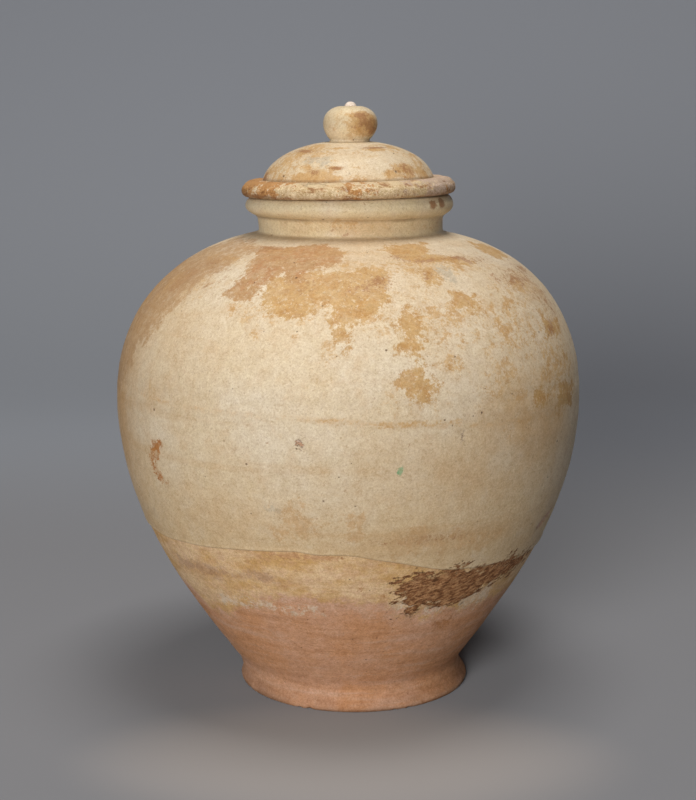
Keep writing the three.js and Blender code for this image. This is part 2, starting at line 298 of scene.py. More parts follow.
def turnedSkin(name, azimuths, points, outs, relief, wear, poles=False):
    # points and outs are (sides, count, 2) or (count, 2); with poles the first and last lie on the axis
    sides = len(azimuths)
    points = np.broadcast_to(points, (sides,) + points.shape[-2:])
    outs = np.broadcast_to(outs, points.shape)
    a = np.radians(azimuths)[:, None]
    r, z = points[..., 0], points[..., 1]
    x, y = r * np.sin(a), -r * np.cos(a)
    push = relief(azimuths[:, None], r, x, y, z)
    if poles:
        push = push * np.clip(r / calmR, 0, 1)
    r, z = r + push * outs[..., 0], z + push * outs[..., 1]
    x, y, z = settle(r * np.sin(a), -r * np.cos(a), z)
    grid = np.stack([x, y, z], axis=-1) * mm
    count = grid.shape[1]
    rows = slice(1, count - 1) if poles else slice(0, count)
    rings = grid[:, rows]
    perSide = rings.shape[1]
    corners = rings.reshape(-1, 3)
    i, j = np.meshgrid(np.arange(sides), np.arange(perSide if not poles else perSide - 1), indexing="ij")
    beside, above = (i + 1) % sides, (j + 1) % perSide
    quads = [i * perSide + j, beside * perSide + j, beside * perSide + above, i * perSide + above]
    faces = np.stack(quads, axis=-1).reshape(-1, 4).tolist()
    if poles:
        low, high = len(corners), len(corners) + 1
        corners = np.vstack([corners, grid[:, 0].mean(axis=0), grid[:, -1].mean(axis=0)])
        for k in range(sides):
            here, there = k * perSide, ((k + 1) % sides) * perSide
            faces.append([low, there, here])
            faces.append([high, here + perSide - 1, there + perSide - 1])
    mesh = bpy.data.meshes.new(name)
    mesh.from_pydata(corners.tolist(), [], faces)
    mesh.shade_smooth()
    mesh.set_sharp_from_angle(angle=sharpAngle)
    for wearName in fieldNames + reachNames:
        blank = 0.0 if wearName in fieldNames else farAway
        values = np.broadcast_to(wear.get(wearName, blank), grid.shape[:2])
        flat = values[:, rows].reshape(-1)
        if poles:
            flat = np.concatenate([flat, values[:1, 0], values[:1, -1]])
        layer = mesh.attributes.new(wearName, "FLOAT", "POINT")
        layer.data.foreach_set("value", flat.astype(np.float32))
    return added(name, mesh)


def dress(skin, body, node, slot):
    skin.data.materials.append(slotMaterials[slot])
    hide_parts(node)
    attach(skin, body)
    print("made", skin.name, len(skin.data.polygons), "faces")


# Shader building: a node goes into the tree that was started last

class Wire:
    # what a node gives, which plain arithmetic can be done with
    def __init__(self, socket):
        self.socket = socket

    def __add__(self, other):
        return maths("ADD", self, other)

    def __sub__(self, other):
        return maths("SUBTRACT", self, other)

    def __rsub__(self, other):
        return maths("SUBTRACT", other, self)

    def __mul__(self, other):
        return maths("MULTIPLY", self, other)

    def __rtruediv__(self, other):
        return maths("DIVIDE", other, self)

    def __pow__(self, other):
        return maths("POWER", self, other)

    __radd__, __rmul__ = __add__, __mul__


def startTree(made):
    global tree
    tree = made
    tree.nodes.clear()


def put(kind, inputs=None, **settings):
    node = tree.nodes.new(kind)
    node.location = (190 * (len(tree.nodes) % 24), -260 * (len(tree.nodes) // 24))
    for key, value in settings.items():
        setattr(node, key, value)
    for key, value in (inputs or {}).items():
        if isinstance(value, Wire):
            tree.links.new(value.socket, node.inputs[key])
        else:
            node.inputs[key].default_value = value
    return node


def out(node, key=0):
    return Wire(node.outputs[key])


def maths(operation, *values, clamp=False):
    return out(put("ShaderNodeMath", dict(enumerate(values)), operation=operation, use_clamp=clamp))


def vectors(operation, first, second):
    # SCALE takes a number second, and the others a vector
    inputs = {0: first, "Scale" if operation == "SCALE" else 1: second}
    node = put("ShaderNodeVectorMath", inputs, operation=operation)
    return out(node, "Value" if operation == "DOT_PRODUCT" else "Vector")


def between(value, low, high):
    # 0 below low, 1 above high, smooth in between; low may be the larger
    return out(put("ShaderNodeMapRange", {"Value": value, "From Min": low, "From Max": high},
                   interpolation_type="SMOOTHSTEP"))


def noiseNode(position, size, detail, roughness):
    return put("ShaderNodeTexNoise",
               {"Vector": position, "Scale": 1 / size, "Detail": detail, "Roughness": roughness})


def noise(position, size, detail, roughness):
    # fractal noise whose largest lumps are about size across, 0 to 1 around a half
    return out(noiseNode(position, size, detail, roughness))


def colour(red, green, blue):
    # a colour as a paint program gives it, 0 to 255, made linear
    parts = [c / 255 for c in (red, green, blue)]
    return tuple(c / 12.92 if c < 0.04045 else ((c + 0.055) / 1.055) ** 2.4 for c in parts) + (1.0,)


def over(below, above, mask, blend="MIX"):
    # the node's sockets for colour are its inputs 6 and 7 and its output 2
    return out(put("ShaderNodeMix", {0: mask, 6: below, 7: above}, data_type="RGBA", blend_type=blend), 2)


def worn(name):
    return out(put("ShaderNodeAttribute", attribute_name=name), "Fac")


def effect(name, **inputs):
    # starts a shader group whose inputs are numbers, vectors or colours as their first values are
    startTree(bpy.data.node_groups.new(name, "ShaderNodeTree"))
    for label, value in inputs.items():
        kind = "Float" if np.isscalar(value) else {3: "Vector", 4: "Color"}[len(value)]
        socket = tree.interface.new_socket(label, in_out="INPUT", socket_type="NodeSocket" + kind)
        socket.default_value = value
    entry = tree.nodes.new("NodeGroupInput")
    return [out(entry, label) for label in inputs]


def give(**results):
    # ends the group with what it gives
    kinds = {"VALUE": "Float", "VECTOR": "Vector", "RGBA": "Color"}
    for label, wire in results.items():
        kind = kinds[wire.socket.type]
        tree.interface.new_socket(label, in_out="OUTPUT", socket_type="NodeSocket" + kind)
    put("NodeGroupOutput", results)
    return tree


def use(group, **inputs):
    node = put("ShaderNodeGroup", inputs, node_tree=group)
    return {socket.name: Wire(socket) for socket in node.outputs}


origin = (0.0, 0.0, 0.0)
black = (0.0, 0.0, 0.0, 1.0)


def makePlace():
    # the point on the pot in millimetres, which travels with the piece
    effect("potPlace")
    return give(Place=vectors("SCALE", out(put("ShaderNodeTexCoord"), "Object"), 1 / mm))


def makeStain():
    # the inside of a drawn outline, with its edge broken up by noise at several scales
    place, reached, breakup, size, soft, strength, patchy = effect(
        "stainPatch", Place=origin, Reach=farAway, Breakup=3.0, Size=9.0, Soft=0.6, Strength=1.0, Patchy=0.3)
    edge = reached + (noise(place, size, 9.0, 0.8) - 0.5) * (breakup * 15.0)
    hole = between(noise(place, 4.3, 6.0, 0.72), 0.47, 0.58) * patchy
    return give(Mask=between(edge, soft, soft * -1.0) * (1.0 - hole) * strength)


def makeMottle():
    # blotches that come out where the field is strong, and small ones round them
    place, field, size, soft = effect("mottles", Place=origin, Field=0.0, Size=14.0, Soft=0.1)
    masks = {}
    for label, share, start in (("Mask", 1.0, 0.64), ("Fine", 0.27, 0.66)):
        level = start - field * 0.25
        masks[label] = between(noise(place, size * share, 9.0, 0.76), level, level + soft)
    return give(**masks)


def makeStrokes():
    # noise drawn out along a direction, as a brush, a cloth or a root leaves it
    place, direction, size = effect("strokes", Place=origin, Direction=(1.0, 0.0, 0.0), Size=4.0)
    along = vectors("DOT_PRODUCT", place, direction)
    spot = vectors("ADD", place, vectors("SCALE", direction, along * -0.66))
    return give(Tone=noise(spot, size, 7.0, 0.72))


rootLook = {
    "lean": (0.8, 0.52, 0.3),              # the way the roots ran
    "crevice": (0.03, 0.015, 0.008, 1.0),
    "spread": 42.0, "ragged": 16.0,        # how far the strands reach out of the outline
}


def makeCrust():
    # the fibrous brown crust that roots left, with ridges that rise to the right
    place, reached, dark, ridge = effect("rootCrust", Place=origin, Reach=farAway, Dark=black, Ridge=black)
    wide = use(strokes, Place=place, Direction=rootLook["lean"], Size=5.0)["Tone"]
    fibre = use(strokes, Place=place, Direction=rootLook["lean"], Size=1.5)["Tone"]
    edge = reached + ((wide - 0.5) * rootLook["spread"] + (fibre - 0.5) * rootLook["ragged"])
    mask = between(edge, 0.8, -0.5)
    base = over(dark, ridge, between(fibre, 0.47, 0.56))
    base = over(base, rootLook["crevice"], between(fibre, 0.46, 0.4) * 0.5)
    return give(Mask=mask, Colour=base, Height=mask * fibre)


rimLook = {
    "cream": colour(216, 190, 150),
    "tan": colour(190, 140, 88),
    "pink": colour(197, 170, 146),
    "brown": colour(146, 98, 60),
    "chip": colour(232, 214, 190),
}


def makeRim():
    # the worn rim of the cover, the same on its clay and on its glaze
    place, tan, pink = effect("wornRim", Place=origin, Tan=0.0, Pink=0.0)
    cloud = noise(place, 9, 8.0, 0.76)
    small = noise(vectors("MULTIPLY", place, (0.45, 0.45, 1.5)), 5.0, 7.0, 0.7)
    base = over(rimLook["cream"], rimLook["tan"], between(small, 0.5, 0.58) * 0.45)
    pinkLevel = 0.64 - pink * 0.26
    base = over(base, rimLook["pink"], between(cloud, pinkLevel, pinkLevel + 0.08))
    tanEdge = cloud - (0.62 - tan * 0.24)
    base = over(base, rimLook["tan"], between(tanEdge, 0.0, 0.02))
    base = over(base, rimLook["brown"], between(small + tan * 0.02, 0.565, 0.6) * 0.65)
    band = between(tanEdge, -0.03, -0.01) * between(tanEdge, 0.02, 0.0)
    chips = band * between(noise(place, 2.0, 3.0, 0.7), 0.5, 0.56)
    return give(Colour=over(base, rimLook["chip"], chips * 0.8))


def makeGrain():
    # a fine uneven tone, as a factor round 1 for the colour below; what it darkens it warms
    place, amount = effect("fineGrain", Place=origin, Amount=1.0)
    wide = noiseNode(place, 6, 5.0, 1.0)
    grey = (out(wide) - 0.5) + (noise(place, 1.1, 2.0, 1.0) - 0.5) * 0.75
    evenDark = grey * amount
    tint = out(put("ShaderNodeSeparateColor", {"Color": out(wide, "Color")}), "Green")
    blue = 1.0 + evenDark * 1.3 - (tint - 0.5) * (amount * 0.2)
    light = put("ShaderNodeCombineColor", {"Red": 1.0 + evenDark * 0.78, "Green": 1.0 + evenDark, "Blue": blue})
    return give(Light=out(light), Height=grey)


def makePinholes():
    # pits of many sizes, each in its own cell
    place, spacing, largest, share = effect("pinholes", Place=origin, Spacing=9.0, Radius=0.7, Share=0.4)
    warp = out(put("ShaderNodeTexNoise", {"Vector": place, "Scale": 1.6, "Detail": 2.0}), "Color")
    spot = vectors("ADD", place, vectors("SCALE", warp, 0.6))
    cells = put("ShaderNodeTexVoronoi", {"Vector": spot, "Scale": 1 / spacing})
    chance = put("ShaderNodeSeparateColor", {"Color": out(cells, "Color")})
    radius = largest * (out(chance, "Green") ** 2.0 + 0.45)
    inside = between(out(cells, "Distance") * spacing, radius, radius * 0.45)
    mask = inside * maths("LESS_THAN", out(chance, "Red"), share)
    return give(Mask=mask, Height=mask * -1.0)


def makeWheelMarks():
    # lines that a tool or wet fingers leave as the pot turns
    place, spacing = effect("wheelMarks", Place=origin, Spacing=1.4)
    flat = vectors("MULTIPLY", place, (0.035, 0.035, 1.0))
    return give(Lines=noise(flat, spacing, 4.0, 0.6), Streaks=noise(flat, spacing * 4.0, 5.0, 0.62))


potPlace = makePlace()
stainPatch = makeStain()
mottles = makeMottle()
strokes = makeStrokes()
rootCrust = makeCrust()
wornRim = makeRim()
fineGrain = makeGrain()
pinholes = makePinholes()
wheelMarks = makeWheelMarks()
print("made the shader groups")


def newMaterial(name):
    material = bpy.data.materials.new(name)
    material.use_nodes = True
    startTree(material.node_tree)
    return material


def stain(base, place, reached, above, breakup, size, soft, strength, patchy):
    mask = use(stainPatch, Place=place, Reach=reached, Breakup=breakup, Size=size, Soft=soft,
               Strength=strength, Patchy=patchy)["Mask"]
    return over(base, above, mask), mask


def finishMaterial(look, place, base, height, rough, amount):
    # the worn rim, the painted shade and dirt, and the grain, the same on every piece
    rim = use(wornRim, Place=place, Tan=worn("rimTan"), Pink=worn("rimPink"))["Colour"]
    base = over(base, rim, worn("rim"))
    # darkening laid over the colour: painted shade in creases, under edges and on the foot's sides, with
    # plain darkening of the inside, the foot and hidden parts
    base = over(base, look["shadeAndDirt"], worn("shadeAndDirt") * 0.6)
    grain = use(fineGrain, Place=place, Amount=amount)
    base = over(base, grain["Light"], 1.0, "MULTIPLY")
    height = height + grain["Height"] * (amount * 0.3)
    bump = put("ShaderNodeBump", {"Height": height, "Strength": 1.0, "Distance": look["bump"] * mm})
    shader = put("ShaderNodeBsdfPrincipled", {
        "Base Color": base, "Roughness": rough, "Normal": out(bump), "Specular IOR Level": look["specular"]})
    put("ShaderNodeOutputMaterial", {"Surface": out(shader)})


glazeLook = {
    "cream": colour(226, 208, 180),
    "yellowCream": colour(224, 203, 170),
    "straw": colour(214, 185, 142),
    "warm": colour(204, 166, 120),
    "pooled": colour(226, 206, 166),
    "ochre": colour(206, 166, 112),
    "patch": colour(200, 158, 98),
    "deepOchre": colour(192, 144, 82),
    "tan": colour(186, 143, 95),
    "tanRust": colour(184, 132, 84),
    "brown": colour(162, 114, 74),
    "band": colour(186, 147, 104),
    "smudge": colour(204, 166, 120),
    "grey": colour(196, 184, 162),
    "rust": colour(176, 108, 40),
    "green": colour(104, 168, 118),
    "clay": colour(204, 160, 128),
    "clayPale": colour(216, 190, 168),
    "chip": colour(230, 212, 182),
    "crust": colour(150, 102, 66),
    "crustRidge": colour(194, 146, 102),
    "pinhole": colour(104, 76, 52),
    "speck": colour(152, 114, 72),
    # the colour of painted shade in the glaze's creases and under the lip, and of the darkening round the
    # nib
    "shadeAndDirt": colour(122, 94, 66),
    "leftStrokes": (0.78, -0.27, 0.57),
    "roughness": 0.52,
    "specular": 0.32,
    "bump": 0.25,          # how many millimetres a height of 1 stands up
    # how far the edge is broken up, the size of the breaks, soft edge, strength and patchiness
    "stains": {
        "band": (4.0, 9.0, 3.0, 0.8, 0.45),
        "smudge": (5.0, 9.0, 3.0, 0.75, 0.4),
        "grey": (2.0, 6.0, 1.5, 0.7, 0.3),
        "rust": (1.4, 4.0, 0.7, 0.9, 0.7),
        "green": (0.6, 2.0, 0.6, 0.9, 0.3),
    },
}


def makeGlaze():
    look = glazeLook
    material = newMaterial("strawGlaze")
    place = use(potPlace)["Place"]
    weathered, pooled, ochreField = worn("weathered"), worn("pool"), worn("ochre")
    broad = noise(place, 60, 4.0, 0.6)
    cloud = noise(place, 13, 8.0, 0.74)
    fine = noise(place, 1.3, 4.0, 0.7)
    base = over(look["cream"], look["yellowCream"], between(broad, 0.36, 0.6))
    base = over(base, look["straw"], worn("low") * 0.8)
    base = over(base, look["pooled"], pooled)
    # the warm field: warm staining, with painted shade on the jar's far left
    base = over(base, look["warm"], worn("warm") * between(broad, 0.15, 0.7))
    base = over(base, look["warm"], between(cloud, 0.48, 0.7) * 0.34)
    base = over(base, look["cream"], between(cloud, 0.5, 0.3) * 0.4)

    ochreTone = between(noise(place, 7, 8.0, 0.74), 0.45, 0.58)
    deep = over(look["ochre"], look["deepOchre"], ochreTone)
    patchTone = over(look["patch"], look["deepOchre"], ochreTone)
    tanTone = over(look["tan"], look["tanRust"], ochreTone)
    base = over(base, look["ochre"], between(ochreField, 0.1, 1.0) * 0.25)
    base, patch = stain(base, place, worn("patch"), patchTone, 2.4, 6.0, 1.0, 0.86, 0.2)
    bloom = use(mottles, Place=place, Field=ochreField, Size=9.0, Soft=0.06)
    thick = maths("MINIMUM", ochreField * 1.2, 0.7)
    base = over(base, deep, bloom["Mask"] * thick)
    base = over(base, deep, bloom["Fine"] * (thick * 0.8))
    base, tan = stain(base, place, worn("tan"), tanTone, 2.0, 7.0, 0.5, 0.9, 0.2)
    brownSpots = use(mottles, Place=place, Field=worn("brown"), Size=6.0, Soft=0.035)
    base = over(base, look["brown"], brownSpots["Mask"] * 0.66)
    base = over(base, look["brown"], brownSpots["Fine"] * 0.6)
    stroke = use(strokes, Place=place, Direction=look["leftStrokes"], Size=3.6)["Tone"]
    strokeLevel = 0.66 - worn("streak") * 0.17
    base = over(base, look["brown"], between(stroke, strokeLevel, strokeLevel + 0.04) * 0.5)
    stained = maths("MAXIMUM", maths("MAXIMUM", bloom["Mask"], patch), tan)
    chips = between(noise(place, 2.4, 4.0, 0.7), 0.57, 0.62) * maths("SUBTRACT", 1.0, weathered, clamp=True)
    base = over(base, look["chip"], stained * chips * 0.55)
    for name, edges in look["stains"].items():
        base = stain(base, place, worn(name), look[name], *edges)[0]

    seam = between(worn("seam") + cloud * 4.0, 4.4, 1.6)
    seam = seam * between(noise(place, 6, 7.0, 0.76), 0.48, 0.56)
    base = over(base, look["deepOchre"], seam * 0.5)
    clayTone = over(look["clay"], look["clayPale"], between(noise(place, 3.5, 4.0, 0.7), 0.45, 0.6))
    base, flake = stain(base, place, worn("flake"), clayTone, 0.9, 4.0, 0.3, 1.0, 0.0)
    crust = use(rootCrust, Place=place, Reach=worn("crust"), Dark=look["crust"], Ridge=look["crustRidge"])
    base = over(base, crust["Colour"], crust["Mask"])
    pits = use(pinholes, Place=place, Spacing=8.0, Radius=0.8, Share=0.55)
    base = over(base, look["pinhole"], pits["Mask"] * 0.8)
    base = over(base, look["speck"], between(fine, 0.57, 0.64) * (weathered * 0.05 + 0.28))
    wheel = use(wheelMarks, Place=place, Spacing=2.6)
    base = over(base, look["deepOchre"], between(wheel["Streaks"], 0.55, 0.7) * 0.16)

    height = cloud * 0.5 + fine * 0.3 + wheel["Lines"] * 0.25 + pits["Height"]
    height = height + crust["Height"] * 3.0 - flake * 0.9
    matt = crust["Mask"] * 0.3 + worn("rim") * 0.25 + stained * 0.1 - pooled * 0.16
    rough = maths("ADD", between(cloud, 0.4, 0.6) * 0.12 + look["roughness"], matt, clamp=True)
    finishMaterial(look, place, base, height, rough, 1.05 - weathered * 0.15)
    return material


clayLook = {
    "clay": colour(213, 163, 129),
    "orange": colour(211, 155, 113),
    "paleClay": colour(214, 175, 149),
    "slip": colour(233, 200, 156),
    "ochreSlip": colour(213, 170, 110),
    "purple": colour(180, 144, 120),
    "pale": colour(222, 200, 174),
    "rust": colour(176, 120, 72),
    "flake": colour(206, 158, 116),
    "crust": colour(150, 102, 66),
    "crustRidge": colour(194, 146, 102),
    "brown": colour(174, 124, 86),
    "speck": colour(120, 84, 60),
    # the colour of painted shade under edges and on the foot's sides, and of plain darkening on the clay
    "shadeAndDirt": colour(112, 80, 58),
    "nib": colour(236, 222, 206),
    "roughness": 0.8,
    "specular": 0.22,
    "bump": 0.3,
    "stains": {
        "purple": (3.0, 14.0, 2.4, 0.6, 0.5),
        "pale": (3.4, 7.0, 1.2, 0.8, 0.6),
        "rust": (1.8, 5.0, 0.9, 0.75, 0.6),
        "flake": (1.2, 6.0, 0.6, 0.8, 0.3),
    },
}


def makeClay(name, clay, stained=1.0):
    # stained is how much of the browns lies over the clay
    look = clayLook
    material = newMaterial(name)
    place = use(potPlace)["Place"]
    weathered, slip = worn("weathered"), worn("slip")
    broad = noise(place, 42, 5.0, 0.66)
    cloud = noise(place, 9, 8.0, 0.74)
    fine = noise(place, 1.2, 4.0, 0.7)
    wipes = noise(vectors("MULTIPLY", place, (0.13, 0.13, 1.3)), 7, 7.0, 0.7)
    base = over(clay, look["orange"], between(broad, 0.4, 0.62) * stained)
    base = over(base, look["paleClay"], between(wipes, 0.5, 0.66) * (0.5 * stained))
    base = over(base, look["brown"], between(wipes, 0.5, 0.36) * (0.4 * stained))
    base = over(base, look["brown"], between(cloud, 0.55, 0.75) * (0.4 * stained))
    base = over(base, look["paleClay"], between(cloud, 0.46, 0.3) * (0.5 * stained))

    slipNoise = noise(vectors("MULTIPLY", place, (0.6, 0.6, 1.4)), 24, 8.0, 0.7)
    slipTone = over(look["slip"], look["ochreSlip"], between(slipNoise, 0.4, 0.6))
    slipTone = over(slipTone, look["brown"], between(wipes, 0.5, 0.62) * 0.22)
    base = stain(base, place, slip, look["paleClay"], 4.0, 26.0, 7.0, 0.75, 0.35)[0]
    base = stain(base, place, slip + 3.0, slipTone, 3.6, 22.0, 3.2, 0.95, 0.3)[0]
    for stainName, edges in look["stains"].items():
        base = stain(base, place, worn(stainName), look[stainName], *edges)[0]
    crust = use(rootCrust, Place=place, Reach=worn("crust"), Dark=look["crust"], Ridge=look["crustRidge"])
    base = over(base, crust["Colour"], crust["Mask"])
    specks = use(pinholes, Place=place, Spacing=5.0, Radius=0.5, Share=0.45)
    base = over(base, look["speck"], specks["Mask"] * 0.6)
    base = over(base, look["speck"], between(fine, 0.56, 0.7) * (weathered * 0.4 + 0.2))

    wheel = use(wheelMarks, Place=place, Spacing=1.7)
    height = cloud * 0.5 + fine * 0.5 + wheel["Lines"] * 0.4 + wipes * 0.6
    height = height + specks["Height"] + crust["Height"] * 3.2
    rough = maths("ADD", look["roughness"], between(cloud, 0.4, 0.6) * 0.1, clamp=True)
    finishMaterial(look, place, base, height, rough, weathered + 1.4)
    return material


slotMaterials = {
    "straw_glaze": makeGlaze(),
    "bare_clay": makeClay("bareClay", clayLook["clay"]),
    "slipped_clay": makeClay("slippedClay", clayLook["clay"]),
    "nib_clay": makeClay("nibClay", clayLook["nib"], stained=0.15),
}
print("made the materials")


# The wall of the jar, and the clay parts that are turned from it

jarWall = {
    "waistIn": 2.6,            # how much narrower the waist is than the foot
    "filletOut": 4.6,
    "filletUp": 13.0,
    "lean": math.radians(35.4),
    "lowerFullness": 60.6,
    "bellyHeight": 183,
    "upperFullness": 54.5,
    "shoulderSlope": math.radians(12),
    "shoulderFullness": 45.3,
    "thickness": 7.5,
    "floor": 6.0,
    "sides": 416,
}
neckForm = {"out": 7.2, "wall": 6.3, "rootOut": 7.3, "rootUp": 4.2, "lipHeight": 11, "innerRound": 4.0}
neckR = lipR - neckForm["out"]
boreR = neckR - neckForm["wall"]
waistR = footR - jarWall["waistIn"]
filletEnd = (waistR + jarWall["filletOut"], footTop + jarWall["filletUp"])


def wallCurves():
    lean, low, high = jarWall["lean"], jarWall["lowerFullness"], jarWall["upperFullness"]
    bellyZ, flat = jarWall["bellyHeight"], jarWall["shoulderFullness"]
    slope = jarWall["shoulderSlope"]
    end = (neckR + neckForm["rootOut"], shoulderZ)
    lower = curve(
        filletEnd,
        (filletEnd[0] + low * math.sin(lean), filletEnd[1] + low * math.cos(lean)),
        (bellyR, bellyZ - low),
        (bellyR, bellyZ), 80)
    upper = curve(
        (bellyR, bellyZ),
        (bellyR, bellyZ + high),
        (end[0] + flat * math.cos(slope), end[1] - flat * math.sin(slope)),
        end, 80)
    return joined(lower, upper)


def waistFillet():
    handle, lean = jarWall["filletUp"] / 2, jarWall["lean"]
    return curve(
        (waistR, footTop), (waistR, footTop + handle),
        (filletEnd[0] - handle * math.sin(lean), filletEnd[1] - handle * math.cos(lean)), filletEnd, 12)


wallOutside = joined(waistFillet(), wallCurves())
innerLine, innerOut = spaced(wallCurves(), 2.5)
wallInside = innerLine - jarWall["thickness"] * innerOut
wallStart = wallInside[0] - 2 * (wallInside[1] - wallInside[0])
wallInside = joined([tuple(wallStart)], wallInside)


def cut(outline, low, high):
    # the part of a rising outline between two heights
    kept = outline[(outline[:, 1] > low) & (outline[:, 1] < high)]
    ends = [(radiusAt(outline, z), z) for z in (low, high)]
    return joined([ends[0]], kept, [ends[1]])


def cutFrom(outline, low):
    # an outline from where it first rises past a height to its end
    first = int(np.argmax(outline[:, 1] > low))
    return joined([(radiusAt(outline[first - 1:first + 1], low), low)], outline[first:])


def arcAlong(outline):
    along = lengthAlong(outline)
    return lambda z: np.interp(z, outline[:, 1], along)


def collarOutline():
    lipOut, lipH, root = neckForm["out"], neckForm["lipHeight"], neckForm["rootOut"]
    rootH, inner = neckForm["rootUp"], neckForm["innerRound"]
    crest = (boreR + lipR) / 2
    full = (lipR, lipTop - 0.42 * lipH)
    start = (neckR + 0.2 * lipOut, lipTop - 0.95 * lipH)
    return joined(
        curve((neckR + root, shoulderZ), (neckR + 0.6 * root, shoulderZ + 0.17 * rootH),
              (neckR, shoulderZ + 0.43 * rootH), (neckR, shoulderZ + rootH), 16),
        curve((neckR, shoulderZ + rootH), (neckR, shoulderZ + rootH + 2),
              (neckR + 0.05 * lipOut, lipTop - 1.2 * lipH), (neckR + 0.08 * lipOut, lipTop - 1.1 * lipH), 8),
        curve(start, (start[0] + 0.26 * lipOut, start[1] + 0.17 * lipH),
              (full[0], full[1] - 0.3 * lipH), full, 16),
        curve(full, (full[0], full[1] + 0.26 * lipH), (full[0] - 0.3 * lipOut, lipTop),
              (crest + 0.28 * lipOut, lipTop), 12),
        curve((crest - 0.28 * lipOut, lipTop), (boreR + 0.4 * inner, lipTop), (boreR, lipTop - 0.4 * inner),
              (boreR, lipTop - inner), 12))


collarOutside = collarOutline()
arcOfWall = arcAlong(joined([(waistR, 0), (waistR, footTop)], wallOutside, [(neckR, shoulderZ + 40)]))

# Where things lie on the wall: lines are (azimuth, height), and so are the corners of a stain
glazeEdge = [
    (-170, 106), (-150, 110), (-128, 113.5), (-108, 112.5), (-90, 110.5), (-71, 108.7), (-56, 109.2),
    (-42, 110), (-29, 112.4), (-20, 114.3), (-12, 115), (-4, 113.5), (1, 112.9), (7, 110.6), (13, 107.8),
    (19, 104), (25, 100.6), (35, 98), (48, 96.4), (60, 94.4), (75, 96.5), (92, 101), (112, 106.5),
    (135, 107.5), (158, 105),
]
slipEdge = [
    (-150, 74), (-120, 67), (-90, 71), (-61, 68.5), (-57, 64), (-46, 63), (-28, 74.5), (-14, 82),
    (-2, 79.5), (10, 74.6), (23, 67.5), (35, 67.5), (50, 65), (80, 72), (110, 66), (145, 77), (175, 70),
]
beltSeam = [
    (-62, 197), (-48, 194), (-10, 193), (-4, 192), (4, 191), (15, 188.5), (24, 187), (42, 185), (60, 184),
]
lowSeam = [(-49, 147), (-38, 148.5), (-23, 150), (-9, 150), (4, 151.5), (17, 151), (32, 150), (50, 149)]

crustForm = {
    "edge": 1.5,             # it rises from the wall over this width
    "size": 3.6, "squash": (0.6, 1.8), "slant": 0.5,
}
crustShapes = [
    [(14, 84), (14, 94), (17, 99), (24, 99), (31, 98), (39, 97), (46, 98), (54, 96), (66, 93), (62, 88),
     (54, 84), (46, 81), (39, 77), (32, 73), (27, 75), (18, 77)],
    (20, 73.5, 5, 3), (-171, 90, 12, 6),
]
bodyStains = {
    "crust": crustShapes,
    "tan": [
        [(-44, 276), (-33, 277.5), (-19, 279.5), (-12, 279.5), (-5, 277), (-3, 271.5), (-10, 270),
         (-14, 267.5), (-15, 257), (-18, 261), (-23, 266), (-28, 257), (-28, 253), (-34, 250.5),
         (-39, 255.5), (-37, 265), (-39, 271)],
        [(150, 268), (176, 273), (-168, 268), (-172, 256), (170, 251), (152, 257)],
    ],
    "patch": [
        [(-26, 265), (-26, 258), (-24, 251), (-20, 246), (-16, 244.6), (-12, 245), (-10, 247.5),
         (-11, 251.4), (-8, 253.8), (-6, 249.8), (-5, 243), (-4, 237), (-2, 232), (0, 229), (-1, 234),
         (-1, 239), (1, 241.4), (5, 244.4), (7, 248.7), (10, 254.7), (12, 266.6), (10, 269), (2, 268),
         (-3, 266.8), (-8, 267), (-13, 268), (-17, 267), (-19, 264)],
        [(19, 279), (38, 279), (33, 275), (49, 269), (45, 268), (34, 271), (24, 271), (20, 272),
         (13, 277)],
        [(74, 278), (86, 273), (83, 268), (66, 269), (64, 274)],
        [(22, 266), (30, 264.5), (27, 260), (22, 261)],
        [(29, 256.6), (37, 255), (37, 248), (31, 246), (28, 250)],
        [(11, 243.6), (15, 250), (19, 242), (17, 235), (18, 229), (14, 225.4), (11, 228.6),
         (13, 234.5)],
        [(10, 210.7), (15, 223.7), (18, 217.8), (17, 214.3), (21, 209.6), (19, 204.5), (17, 200),
         (15, 202.4), (12, 205.4)],
        [(48, 201.4), (53, 200.5), (52, 191), (48, 192)],
        [(59, 200.8), (69, 198), (67, 185.3), (58, 188)],
        [(60, 237), (71, 235), (66, 226.6), (58, 228)],
        (128, 244, 20, 9), (-140, 240, 18, 9), (166, 226, 16, 12), (178, 262, 34, 9),
        (-118, 222, 12, 10),
    ],
    "band": [
        [(-68, 204), (-64, 220), (-60, 232), (-56, 246), (-53, 254), (-50, 262), (-47, 268), (-46, 273),
         (-54, 279), (-80, 279), (-96, 262), (-98, 230), (-92, 196), (-76, 190)],
        (140, 258, 30, 10), (-150, 255, 26, 9),
    ],
    "smudge": [
        (-13, 134, 9, 10), (16, 124, 9, 6), (33, 118, 14, 5), (1, 132, 6, 5), (100, 128, 12, 7),
        (-100, 150, 10, 9), (150, 140, 12, 6), (-150, 170, 8, 8),
    ],
    "grey": [(32, 266, 4.5, 7), (-18, 141, 2, 2), (133, 258, 6, 5)],
    "rust": [
        [(-52, 171), (-48, 171), (-49, 164), (-51.5, 158), (-49.5, 150), (-47, 147), (-51, 147),
         (-53, 153), (-53.5, 163)],
        (155, 160, 2, 7),
    ],
    "green": [(11.5, 164, 2.1, 2.5)],
    "flake": [
        [(60, 112), (64, 117), (72, 122), (70, 118), (66, 113), (63, 110)],
        (-11, 178.6, 2.0, 2.0), (26, 182, 0.6, 1.6), (102, 108, 5, 3),
    ],
}
